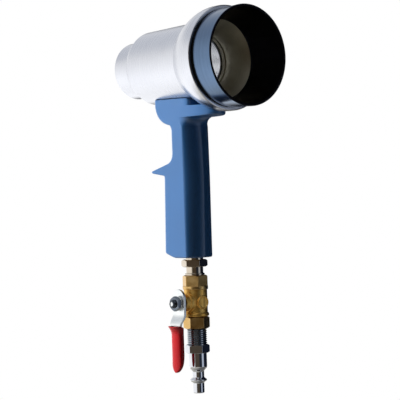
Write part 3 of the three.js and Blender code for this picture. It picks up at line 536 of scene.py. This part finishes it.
def reach_at(outline, drop):
    """Reach of an outline at a drop, between its points."""
    for (reach_a, drop_a), (reach_b, drop_b) in zip(outline, outline[1:]):
        if drop_a <= drop <= drop_b and drop_b > drop_a:
            return reach_a + (reach_b - reach_a) * (drop - drop_a) / (drop_b - drop_a)
    return outline[-1][0]


def grip_section(front, back, half, squareness, flat, level):
    """Plan of the handle: rounded front corners, flat sides, and a back from roof to square."""
    front_corner, corner_steps, back_steps = 4.0, 7, 40
    corner = min(front_corner, half / 2, front / 2)
    side = []
    for i in range(corner_steps + 1):
        angle = i / corner_steps * TURN / 4
        side.append((-front + corner - corner * math.cos(angle), half - corner + corner * math.sin(angle)))
    section = [(x, -y, level) for x, y in side]
    for i in range(back_steps + 1):
        angle = (i / back_steps - 0.5) * TURN / 2
        x = flat + (back - flat) * max(math.cos(angle), 0.0) ** (2 / squareness)
        y = math.copysign(half * abs(math.sin(angle)) ** (2 / squareness), angle)
        section.append((x, y, level))
    return section + [(x, y, level) for x, y in reversed(side)]


def handle_grip():
    saddle_square, tail_square, strap_square, strap_flat = 7.0, 2.5, 1.5, 5.0
    level_spacing, tube_radius = 2.0, 6.3
    front, back = front_outline(), back_outline()
    drops = sorted({round(drop, 2) for _, drop in front + back})
    filled = []
    for drop, following in zip(drops, drops[1:] + drops[-1:]):
        count = max(1, round((following - drop) / level_spacing))
        filled += [drop + (following - drop) * i / count for i in range(count)]
    filled.append(drops[-1])
    sections = []
    for drop in filled:
        into_strap = max(0.0, min(1.0, (drop - tail_under) / (fillet_drop - tail_under)))
        squareness = saddle_square
        if drop > tail_top:
            squareness = tail_square + (strap_square - tail_square) * into_strap
        into_foot = max(0.0, drop - grip_length + foot_edge)
        rounding = foot_edge - math.sqrt(max(0.0, foot_edge ** 2 - into_foot ** 2))
        sections.append(grip_section(reach_at(front, drop), reach_at(back, drop), half_width - rounding,
                                     squareness, strap_flat * into_strap, barrel_z - drop))
    whole = loft(sections)
    reach = tail_reach * 2
    start = shell_low.x - PAST
    envelope = [(start, 0), (start, shoulder_radius), *shell_outline(saddle_gap)]
    envelope += [(reach, flange_radius + saddle_gap), (reach, 0)]
    barrel = moved(lathe(envelope, steps=128, closed=False), z=barrel_z)
    bush_low, bush_high = span("inlet_bush")
    bush_radius = (bush_high.y - bush_low.y) / 2 + fit_gap
    foot, bush_top = grip_low.z - PAST, bush_high.z + fit_gap
    bore = [(foot, 0), (foot, bush_radius), (bush_top, bush_radius)]
    bore += [(bush_top, tube_radius), (barrel_z, tube_radius), (barrel_z, 0)]
    return combined(combined(whole, barrel, "DIFFERENCE"), lathe(bore, "Z", 64, False), "DIFFERENCE")


finished("handle_moulding", handle_grip(), BLOWER, [polyamide], ["handle_grip"])


# Air column below the handle, on Z

nipple_low, nipple_high = span("hex_nipple")
valve_low, valve_high = span("valve_body")
cap_low, cap_high = span("valve_end_cap")
plug_low, plug_high = span("coupler_plug")
stem_low, stem_high = span("valve_stem")
pivot_z = (stem_low.z + stem_high.z) / 2
waterway, stem_radius, stem_flange, stem_flange_end = 3.2, 3.3, 4.2, 6.7


def hex_nipple():
    """Nickel plated nipple: thread into the handle, hexagon, neck and a collar on the valve."""
    across, turn, radius, neck, bore = 16.2, math.radians(11.7), 6.2, 5.95, 3.6
    collar, collar_foot, collar_top = 6.9, valve_high.z + fit_gap, valve_high.z + 1.4
    hex_foot, hex_top = grip_low.z - 6.5, grip_low.z - 1.4
    profile = [(nipple_low.z, bore), (nipple_low.z, radius), (collar_foot, radius)]
    profile += [(collar_foot, collar, 0.2), (collar_top, collar, 0.3), (collar_top, neck, 0.2)]
    profile += [(hex_foot + SINK, neck), (hex_top - SINK, radius)]
    profile += [(nipple_high.z, radius, 0.6), (nipple_high.z, bore)]
    bar = hexagon(across, hex_foot, hex_top, turn)
    return combined(lathe(profile, "Z", 80), bar, "UNION")


def valve_collar():
    """Machined top of the valve: hexagon and rim, bored for the nipple."""
    across, turn, rim, bore, inside = 15.8, math.radians(5.2), 8.9, 6.4, 5.0
    foot, top = valve_high.z - 7.8, valve_high.z
    rim_foot, rim_top, socket_foot = foot - 2.2, foot + 0.4, foot + 0.2
    ring = [(rim_foot, inside), (rim_foot, rim, 0.5), (rim_top, rim, 0.4), (rim_top, inside)]
    bar = hexagon(across, foot, top, turn, chamfer_low=False)
    socket = [(socket_foot, 0), (socket_foot, bore), (top + PAST, bore), (top + PAST, 0)]
    bored = combined(bar, lathe(socket, "Z", 64, False), "DIFFERENCE")
    return combined(bored, lathe(ring, "Z", 80), "UNION")


def valve_forging():
    """Pressed middle of the valve: round body, boss for the stem and a rimmed disc on either side, hollow
    for the ball and the stem."""
    radius, foot_rim, boss, neck = 8.2, 9.0, 5.9, 6.7
    top, foot = valve_high.z - 9.4, valve_low.z
    rim_top, rim_slope, boss_end, neck_end = foot + 2.0, 0.6, -valve_low.y, 8.9
    disc, disc_reach, disc_rim, disc_sink = 4.6, radius + 0.4, 0.9, 0.5
    sunk_radius, sunk_reach = disc - disc_rim, disc_reach - disc_sink
    outside = [(foot, 0), (foot, foot_rim, 0.5), (rim_top, foot_rim, 0.5)]
    outside += [(rim_top + rim_slope, radius), (top, radius), (top, 0)]
    near_disc = [(sunk_reach, 0), (sunk_reach, sunk_radius), (disc_reach, sunk_radius, 0.1)]
    near_disc += [(disc_reach, disc, 0.3), (0, disc), (0, 0)]
    far_disc = [(-station, *rest) for station, *rest in near_disc]
    boss_outside = [(0, 0), (0, boss), (boss_end, boss, 0.4), (boss_end, 0)]
    neck_outside = [(0, 0), (0, neck), (neck_end, neck, 0.4), (neck_end, 0)]
    whole = lathe(outside, "Z", 96, False)
    for points, axis in ((near_disc, "X"), (far_disc, "X"), (boss_outside, "-Y"), (neck_outside, "-Y")):
        whole = combined(whole, moved(lathe(points, axis, 80, False), z=pivot_z), "UNION")
    # Small voxels, smoothed, round the edges as they are on a pressing
    lump = mesh_object("lump", whole)
    even = lump.modifiers.new("even", "REMESH")
    even.mode = "VOXEL"
    even.voxel_size = 0.19
    soften = lump.modifiers.new("soften", "SMOOTH")
    soften.iterations = 3
    soften.factor = 0.5
    ball_low, ball_high = span("valve_ball")
    ball_room = (ball_high.x - ball_low.x) / 2 + fit_gap
    chamber = bmesh.new()
    bmesh.ops.create_uvsphere(chamber, u_segments=48, v_segments=24, radius=ball_room)
    stem_room, pocket, pocket_end = stem_radius + fit_gap, stem_flange + fit_gap, stem_flange_end + fit_gap
    hole = [(0, 0), (0, pocket), (pocket_end, pocket), (pocket_end, stem_room)]
    hole += [(boss_end + PAST, stem_room), (boss_end + PAST, 0)]
    hollow = combined(evaluated(lump), moved(chamber, z=pivot_z), "DIFFERENCE")
    return combined(hollow, moved(lathe(hole, "-Y", 48, False), z=pivot_z), "DIFFERENCE")


def valve_end_cap():
    """Lower hexagon of the valve, screwed into the body and bored for the plug."""
    across, turn, spigot, socket = 16.2, math.radians(23.2), 5.9, 7.35
    foot, top = cap_low.z, valve_low.z - fit_gap
    socket_top = foot + 6.7
    bar = hexagon(across, foot, top, turn)
    hole = [(foot - PAST, 0), (foot - PAST, socket), (socket_top, socket), (socket_top, waterway)]
    hole += [(top + PAST, waterway), (top + PAST, 0)]
    ring = [(top - SINK, waterway), (top - SINK, spigot), (cap_high.z, spigot), (cap_high.z, waterway)]
    bored = combined(bar, lathe(hole, "Z", 64, False), "DIFFERENCE")
    return combined(bored, lathe(ring, "Z", 64), "UNION")


plug_shank, plug_hex_length = 11.3, 5.8
plug_hex_top = cap_low.z - plug_shank
plug_hex_foot = plug_hex_top - plug_hex_length
thread_radius, thread_depth, thread_pitch = 7.05, 0.7, 1.41


def plug_body():
    """Quick plug: threaded shank, hexagon, tapered body, groove, ridge and nose round one bore."""
    across, turn = 15.2, math.radians(12.4)
    body_length, taper, groove, ridge_length, ridge_slope = 10.2, 2.6, 4.5, 3.5, 1.3
    bore, body, neck, ridge, nose = 2.6, 6.35, 4.1, 5.9, 3.95
    body_foot = plug_hex_foot - body_length
    neck_top = body_foot - taper
    ridge_top = neck_top - groove
    ridge_foot = ridge_top - ridge_length
    root = thread_radius - thread_depth
    profile = [(plug_low.z, bore, 0.3), (plug_low.z, nose, 0.6), (ridge_foot, nose, 0.4)]
    profile += [(ridge_foot + ridge_slope, ridge, 0.6), (ridge_top - ridge_slope, ridge, 0.6)]
    profile += [(ridge_top, neck, 0.5), (neck_top, neck, 0.6), (body_foot, body, 1.0)]
    profile += [(plug_hex_top - SINK, body), (plug_hex_top - SINK, root)]
    profile += [(plug_high.z, root, 0.4), (plug_high.z, bore)]
    bar = hexagon(across, plug_hex_foot, plug_hex_top, turn)
    return combined(lathe(profile, "Z", 96), bar, "UNION")


def plug_thread():
    start, end = plug_hex_top - 0.5, plug_high.z - 1.0
    return coil(thread_radius - thread_depth, thread_depth, thread_pitch, start, end)


finished("hex_nipple_plated", hex_nipple(), BLOWER, [nickel], ["hex_nipple"])
finished("valve_forging", valve_forging(), BLOWER, [pressed_brass], ["valve_body"])
finished("valve_collar", valve_collar(), BLOWER, [machined_brass])
finished("valve_end_cap_machined", valve_end_cap(), BLOWER, [machined_brass], ["valve_end_cap"])
finished("plug_body", plug_body(), BLOWER, [bright_plate], ["coupler_plug"])
# The thread ridge is painted greyer than the plug: painted shade
finished("plug_thread", plug_thread(), BLOWER, [thread_painted_shade])


# Lever, which turns with stem and ball: heights are counted from the axis of the stem

lever_low, lever_high = span("lever")
sleeve_low, sleeve_high = span("lever_grip")
washer_low, washer_high = span("lever_washer")
nut_low, nut_high = span("lever_nut")
lever_half = (lever_high.x - lever_low.x) / 2
lever_seat = -lever_high.y
lever_thickness = 2.0
lever_jog = lever_high.y - lever_low.y - lever_thickness
jog_top, jog_foot = pivot_z - 7.5, pivot_z - 15.0
stem_thread, stem_thread_depth, stem_thread_pitch = 2.9, 0.35, 0.8


def lever_strip():
    """Zinc plated strip: round head with a hole, a jog outwards and a tail that narrows into the sleeve."""
    tail_half, waist_half, edge = 3.7, 5.4, 0.3
    taper_top, tail_top = pivot_z - 11.0, pivot_z - 21.0
    head_z = lever_high.z - lever_half
    head_steps, jog_steps = 28, 10
    side = [(tail_half, lever_low.z), (tail_half, tail_top), (waist_half, sleeve_high.z)]
    side.append((lever_half, taper_top))
    outline = [(-x, z) for x, z in reversed(side)] + side
    for i in range(head_steps + 1):
        angle = i / head_steps * TURN / 2
        outline.append((lever_half * math.cos(angle), head_z + lever_half * math.sin(angle)))
    bm = bmesh.new()
    plate = bm.faces.new([bm.verts.new((x, 0, z)) for x, z in outline])
    grown = bmesh.ops.extrude_face_region(bm, geom=[plate])
    out = [v for v in grown["geom"] if isinstance(v, bmesh.types.BMVert)]
    bmesh.ops.translate(bm, verts=out, vec=(0, -lever_thickness, 0))
    bmesh.ops.recalc_face_normals(bm, faces=bm.faces)
    rim = [e for e in bm.edges if abs(e.verts[0].co.y - e.verts[1].co.y) < edge / 10]
    bmesh.ops.bevel(bm, geom=rim, offset=edge, offset_type="OFFSET", segments=3, profile=0.5, affect="EDGES",
                    material=-1)
    for i in range(jog_steps + 1):
        level = jog_foot + (jog_top - jog_foot) * i / jog_steps
        bmesh.ops.bisect_plane(bm, geom=bm.verts[:] + bm.edges[:] + bm.faces[:], plane_co=(0, 0, level),
                               plane_no=(0, 0, 1))
    for vert in bm.verts:
        share = max(0.0, min(1.0, (jog_top - vert.co.z) / (jog_top - jog_foot)))
        vert.co.y -= lever_seat + lever_jog * share * share * (3 - 2 * share)
    hole = stem_thread + fit_gap
    drill = lathe([(0, 0), (0, hole), (-stem_low.y, hole), (-stem_low.y, 0)], "-Y", 48, False)
    return combined(bm, moved(drill, z=pivot_z), "DIFFERENCE")


sleeve_lip, sleeve_thickness, sleeve_half, sleeve_top_half = 3.1, 6.0, 5.3, 6.3
sleeve_flare, sleeve_round = 7.0, 7.0  # heights of the flare at the top and of the rounded foot
sleeve_inset = 1.1  # the sleeve is thicker on the valve side of the strip
sleeve_outer = lever_low.y - (sleeve_thickness - lever_thickness) / 2 + sleeve_inset
sleeve_top = pivot_z - 14.8


def sleeve_section(height, inset=0.0):
    """Rounded plan of the vinyl sleeve: turned out at the top, thinned on the valve side towards the foot."""
    taper, taper_height, scoop, inner_drop, squareness = 3.6, 13.0, 0.9, 2.0, 2.3
    sides, least = 56, 0.05  # points round a section, and its half width at the tip of the foot
    into_flare = max(0.0, 1 - (sleeve_top - height) / sleeve_flare)
    into_foot = max(0.0, 1 - (height - sleeve_low.z) / sleeve_round)
    into_taper = max(0.0, 1 - (height - sleeve_low.z) / taper_height)
    half = sleeve_half * math.sqrt(max(0.0, 1 - into_foot ** 2))
    half += (sleeve_top_half - sleeve_half) * into_flare ** 2
    lip = sleeve_lip * into_flare ** 2
    thickness = sleeve_thickness - taper * into_taper ** 2 + lip
    middle = sleeve_outer - lip + thickness / 2
    section = []
    for i in range(sides):
        angle = i / sides * TURN
        across = math.copysign(abs(math.cos(angle)) ** (2 / squareness), math.cos(angle))
        deep = math.copysign(abs(math.sin(angle)) ** (2 / squareness), math.sin(angle))
        fall = into_flare * (scoop * (1 - across ** 2) + inner_drop * (1 + deep) / 2)
        section.append((max(half - inset, least) * across, middle + max(thickness / 2 - inset, least) * deep,
                        height - fall))
    return section


def lever_sleeve():
    """Vinyl sleeve as one skin: up the inside of its open top, over the lip and down the outside."""
    wall, depth, lip_round = 0.8, 5.0, 0.4
    inside, rim_steps, outside, rounding = 6, 4, 22, 12
    sections = [sleeve_section(sleeve_top - depth * i / inside, wall) for i in range(inside, 0, -1)]
    for i in range(rim_steps + 1):
        angle = i / rim_steps * TURN / 2
        rim = sleeve_section(sleeve_top - lip_round, wall / 2 * (1 + math.cos(angle)))
        sections.append([(x, y, z + lip_round * math.sin(angle)) for x, y, z in rim])
    top, straight = sleeve_top - lip_round, sleeve_low.z + sleeve_round
    for i in range(1, outside + 1):
        sections.append(sleeve_section(top + (straight - top) * i / outside))
    for i in range(1, rounding + 1):
        sections.append(sleeve_section(sleeve_low.z + sleeve_round * (1 - math.sin(i / rounding * TURN / 4))))
    return loft(sections)


def lever_washer():
    start, end = -washer_high.y, -washer_low.y
    outside, hole = (washer_high.z - washer_low.z) / 2, stem_thread + fit_gap
    profile = [(start, hole), (start, outside, 0.2), (end, outside, 0.25), (end, hole)]
    return moved(lathe(profile, "-Y", 64), z=pivot_z)


def lever_nut():
    across, hole = 9.2, stem_thread + 0.1
    start, end = -nut_high.y, -nut_low.y
    drill = [(start - PAST, 0), (start - PAST, hole), (end + PAST, hole), (end + PAST, 0)]
    nut = combined(hexagon(across, start, end), lathe(drill, "Z", 48, False), "DIFFERENCE")
    bmesh.ops.rotate(nut, verts=nut.verts, matrix=Matrix.Rotation(TURN / 4, 3, "X"))
    return moved(nut, z=pivot_z)


def valve_stem():
    """Stem with its flange and threaded end, and the tang that turns the ball."""
    root, end = stem_thread - stem_thread_depth, -stem_low.y
    dimple, dimple_end = 1.5, end - 0.3  # turned into the end of the stem
    tang_start, tang_end, tang_length, tang_width = 4.1, 6.0, 4.4, 2.0
    flange_start, shoulder, slack = stem_flange_end - 1.2, 13.7, 0.05
    profile = [(flange_start, 0), (flange_start, stem_flange, 0.2), (stem_flange_end, stem_flange, 0.2)]
    profile += [(stem_flange_end, stem_radius), (shoulder, stem_radius, 0.15), (shoulder, root)]
    profile += [(end, root, 0.5), (end, dimple), (dimple_end, dimple), (dimple_end, 0)]
    tang = bmesh.new()
    bmesh.ops.create_cube(tang, size=1)
    bmesh.ops.scale(tang, vec=(tang_length, tang_end - tang_start, tang_width), verts=tang.verts)
    moved(tang, y=-(tang_end + tang_start) / 2)
    stem = combined(lathe(profile, "-Y", 64, False), tang, "UNION")
    # The stem's side and thread take the painted shade; the dimpled end keeps the bright zinc
    for face in stem.faces:
        middle = face.calc_center_median()
        in_dimple = -middle.y > dimple_end - slack and math.hypot(middle.x, middle.z) < dimple
        face.material_index = 1 if in_dimple else 0
    return moved(stem, z=pivot_z)


def stem_ridge():
    start, end, steps = 14.4, -stem_low.y - 0.8, 28
    ridge = coil(stem_thread - stem_thread_depth, stem_thread_depth, stem_thread_pitch, start, end, steps)
    bmesh.ops.rotate(ridge, verts=ridge.verts, matrix=Matrix.Rotation(TURN / 4, 3, "X"))
    return moved(ridge, z=pivot_z)


finished("lever_strip", lever_strip(), LEVER, [zinc], ["lever"])
finished("lever_sleeve", lever_sleeve(), LEVER, [vinyl], ["lever_grip"])
finished("lever_washer_plated", lever_washer(), LEVER, [zinc], ["lever_washer"])
# The nut is painted darker: a painted dark reflection
finished("lever_nut_plated", lever_nut(), LEVER, [nut_painted_dark], ["lever_nut"])
finished("valve_stem_turned", valve_stem(), LEVER, [steel_painted_shade, zinc], ["valve_stem"])
finished("stem_thread", stem_ridge(), LEVER, [steel_painted_shade])

# Pieces inside, which keep their solids
inner_finishes = {
    "front_seal": rubber, "bell_seal": rubber, "tube_seal": rubber, "stem_seal": rubber,
    "air_tube": zinc, "inlet_bush": machined_brass, "valve_ball": nickel,
    "ball_seat_upper": ptfe, "ball_seat_lower": ptfe, "thrust_washer": ptfe,
}
for node, finish in inner_finishes.items():
    nodes[node].data.materials.clear()
    nodes[node].data.materials.append(finish)


# Studio: camera, floor, lamps and surroundings

azimuth, roll = math.radians(50), math.radians(-2)
camera_distance, focal_length, sensor_width = 1.0, 128.57, 36
aim_right, aim_up = 5.4, -5.5
toward = Vector((math.sin(azimuth), -math.cos(azimuth), 0))
right = Vector((math.cos(azimuth), math.sin(azimuth), 0))
up = Vector((0, 0, 1))
aim = right * aim_right * MM + up * aim_up * MM

camera_data = bpy.data.cameras.new("camera")
camera_data.lens = focal_length
camera_data.sensor_width = sensor_width
camera = bpy.data.objects.new("camera", camera_data)
bpy.context.scene.collection.objects.link(camera)
side = right * math.cos(roll) + up * math.sin(roll)
top = up * math.cos(roll) - right * math.sin(roll)
turn = Matrix((side, top, toward)).transposed().to_4x4()
camera.matrix_world = Matrix.Translation(aim + toward * camera_distance) @ turn
bpy.context.scene.camera = camera
bpy.context.scene.view_settings.view_transform = "Standard"


def lamp(name, bearing, height, distance, size, power):
    """A square soft light at a bearing from the camera, counted to the right, aimed at the object."""
    data = bpy.data.lights.new(name, "AREA")
    data.shape = "SQUARE"
    data.size = size
    data.energy = power
    light = bpy.data.objects.new(name, data)
    bpy.context.scene.collection.objects.link(light)
    bearing, height = math.radians(bearing), math.radians(height)
    flat = toward * math.cos(bearing) + right * math.sin(bearing)
    place = flat * math.cos(height) + up * math.sin(height)
    light.location = place * distance
    light.rotation_euler = place.to_track_quat("Z", "Y").to_euler()
    light.visible_glossy = False


lamp("soft_key", bearing=-94, height=20, distance=1.6, size=1.0, power=42)
lamp("back_fill", bearing=155, height=15, distance=1.8, size=1.4, power=6)

floor_size, floor_drop, painted_shadow_middle, painted_shadow_radius, pale_radius = 0.42, 0.16, 0.18, 0.16, 0.34
paper_glow, eye_part, mirror_part = 1.2, 0.8, 0.5
floor_mesh = bmesh.new()
bmesh.ops.create_grid(floor_mesh, x_segments=1, y_segments=1, size=floor_size)
bmesh.ops.translate(floor_mesh, verts=floor_mesh.verts, vec=(0, 0, cad_box[0][2] - floor_drop))
floor = mesh_object("floor", floor_mesh)
# White paper: matt and shown as white; in reflections it carries a painted shadow, darker to the right of the
# object
paper, tree, shader, place = surface("white_paper")
shader.inputs["Base Color"].default_value = linear("#A8A8A8")
shader.inputs["Roughness"].default_value = 0.9
path = add(tree, "ShaderNodeLightPath")
on_floor = add(tree, "ShaderNodeVectorMath", operation="MULTIPLY_ADD", in0=(place, "Object"), in1=(1, 1, 0),
               in2=(right * -painted_shadow_middle)[:])
away = add(tree, "ShaderNodeVectorMath", operation="LENGTH", in0=(on_floor, "Vector"))
# Dark near the middle, pale further out: a painted shadow seen only in reflections
painted_shadow_ramp = add(tree, "ShaderNodeValToRGB", [(painted_shadow_radius, "#4A4846"), (pale_radius, "#EFEBDC")],
               Fac=(away, "Value"))
tint = add(tree, "ShaderNodeMix", data_type="RGBA", in0=(path, "Is Glossy Ray"), in6=linear("#FFFFFF"),
           in7=(painted_shadow_ramp, "Color"))
glow = add(tree, "ShaderNodeEmission", Color=(tint, 2), Strength=paper_glow)
eye = add(tree, "ShaderNodeMath", operation="MULTIPLY", in0=(path, "Is Camera Ray"), in1=eye_part)
mirror = add(tree, "ShaderNodeMath", operation="MAXIMUM", in0=(path, "Is Glossy Ray"),
             in1=(path, "Is Transmission Ray"))
mirror_share = add(tree, "ShaderNodeMath", operation="MULTIPLY", in0=(mirror, 0), in1=mirror_part)
share = add(tree, "ShaderNodeMath", operation="MAXIMUM", in0=(eye, 0), in1=(mirror_share, 0))
paper_mix = add(tree, "ShaderNodeMixShader", Fac=(share, 0), in1=(shader, "BSDF"), in2=(glow, "Emission"))
tree.links.new(paper_mix.outputs[0], tree.nodes["Material Output"].inputs["Surface"])
floor.data.materials.append(paper)

# Surroundings: white to the eye; in reflections, screens round the object and a pale ceiling on the left
ceiling_foot, ceiling_full, left_edge, right_edge = 0.3, 0.6, -0.1, 0.3
low_height, high_height, low_strength, high_strength = -0.3, 0.5, 1.5, 0.93
world = bpy.data.worlds.new("studio")
bpy.context.scene.world = world
world.use_nodes = True
tree = world.node_tree
tree.nodes.clear()
way = add(tree, "ShaderNodeTexCoord")
to_right = add(tree, "ShaderNodeVectorMath", operation="DOT_PRODUCT", in0=(way, "Generated"), in1=right[:])
to_camera = add(tree, "ShaderNodeVectorMath", operation="DOT_PRODUCT", in0=(way, "Generated"), in1=toward[:])
bearing = add(tree, "ShaderNodeMath", operation="ARCTAN2", in0=(to_right, "Value"), in1=(to_camera, "Value"))
round_share = add(tree, "ShaderNodeMapRange", in0=(bearing, 0), in1=-math.pi, in2=math.pi)
screens = [(-180, "#191C26"), (-178, "#191C26"), (-168, "#FFFFFF"), (-46, "#FFFFFF"), (-32, "#4A4238"),
           (14, "#4A4238"), (26, "#20262F"), (50, "#20262F"), (58, "#B4BCCA"), (76, "#B4BCCA"),
           (84, "#141824"), (180, "#141824")]
walls = add(tree, "ShaderNodeValToRGB", [(angle / 360 + 0.5, code) for angle, code in screens],
            Fac=(round_share, "Result"))
height = add(tree, "ShaderNodeSeparateXYZ", Vector=(way, "Generated"))
ceiling_share = add(tree, "ShaderNodeMapRange", in0=(height, "Z"), in1=ceiling_foot, in2=ceiling_full,
                    interpolation_type="SMOOTHSTEP")
left_share = add(tree, "ShaderNodeMapRange", in0=(to_right, "Value"), in1=left_edge, in2=right_edge, in3=1.0,
                 in4=0.0)
ceiling = add(tree, "ShaderNodeMath", operation="MULTIPLY", in0=(ceiling_share, "Result"),
              in1=(left_share, "Result"))
room = add(tree, "ShaderNodeMix", data_type="RGBA", in0=(ceiling, 0), in6=(walls, "Color"),
           in7=linear("#E9ECF2"))
path = add(tree, "ShaderNodeLightPath")
strength = add(tree, "ShaderNodeMapRange", in0=(height, "Z"), in1=low_height, in2=high_height,
               in3=low_strength, in4=high_strength)
reflected = add(tree, "ShaderNodeBackground", Color=(room, 2), Strength=(strength, "Result"))
ambient = add(tree, "ShaderNodeBackground", Color=linear("#E8ECF4"), Strength=0.03)
backdrop = add(tree, "ShaderNodeBackground", Color=linear("#FFFFFF"), Strength=1.0)
lit = add(tree, "ShaderNodeMixShader", Fac=(path, "Is Glossy Ray"), in1=(ambient, 0), in2=(reflected, 0))
seen = add(tree, "ShaderNodeMath", operation="MAXIMUM", in0=(path, "Is Camera Ray"),
           in1=(path, "Is Transmission Ray"))
shown = add(tree, "ShaderNodeMixShader", Fac=(seen, 0), in1=(lit, 0), in2=(backdrop, 0))
add(tree, "ShaderNodeOutputWorld", Surface=(shown, 0))
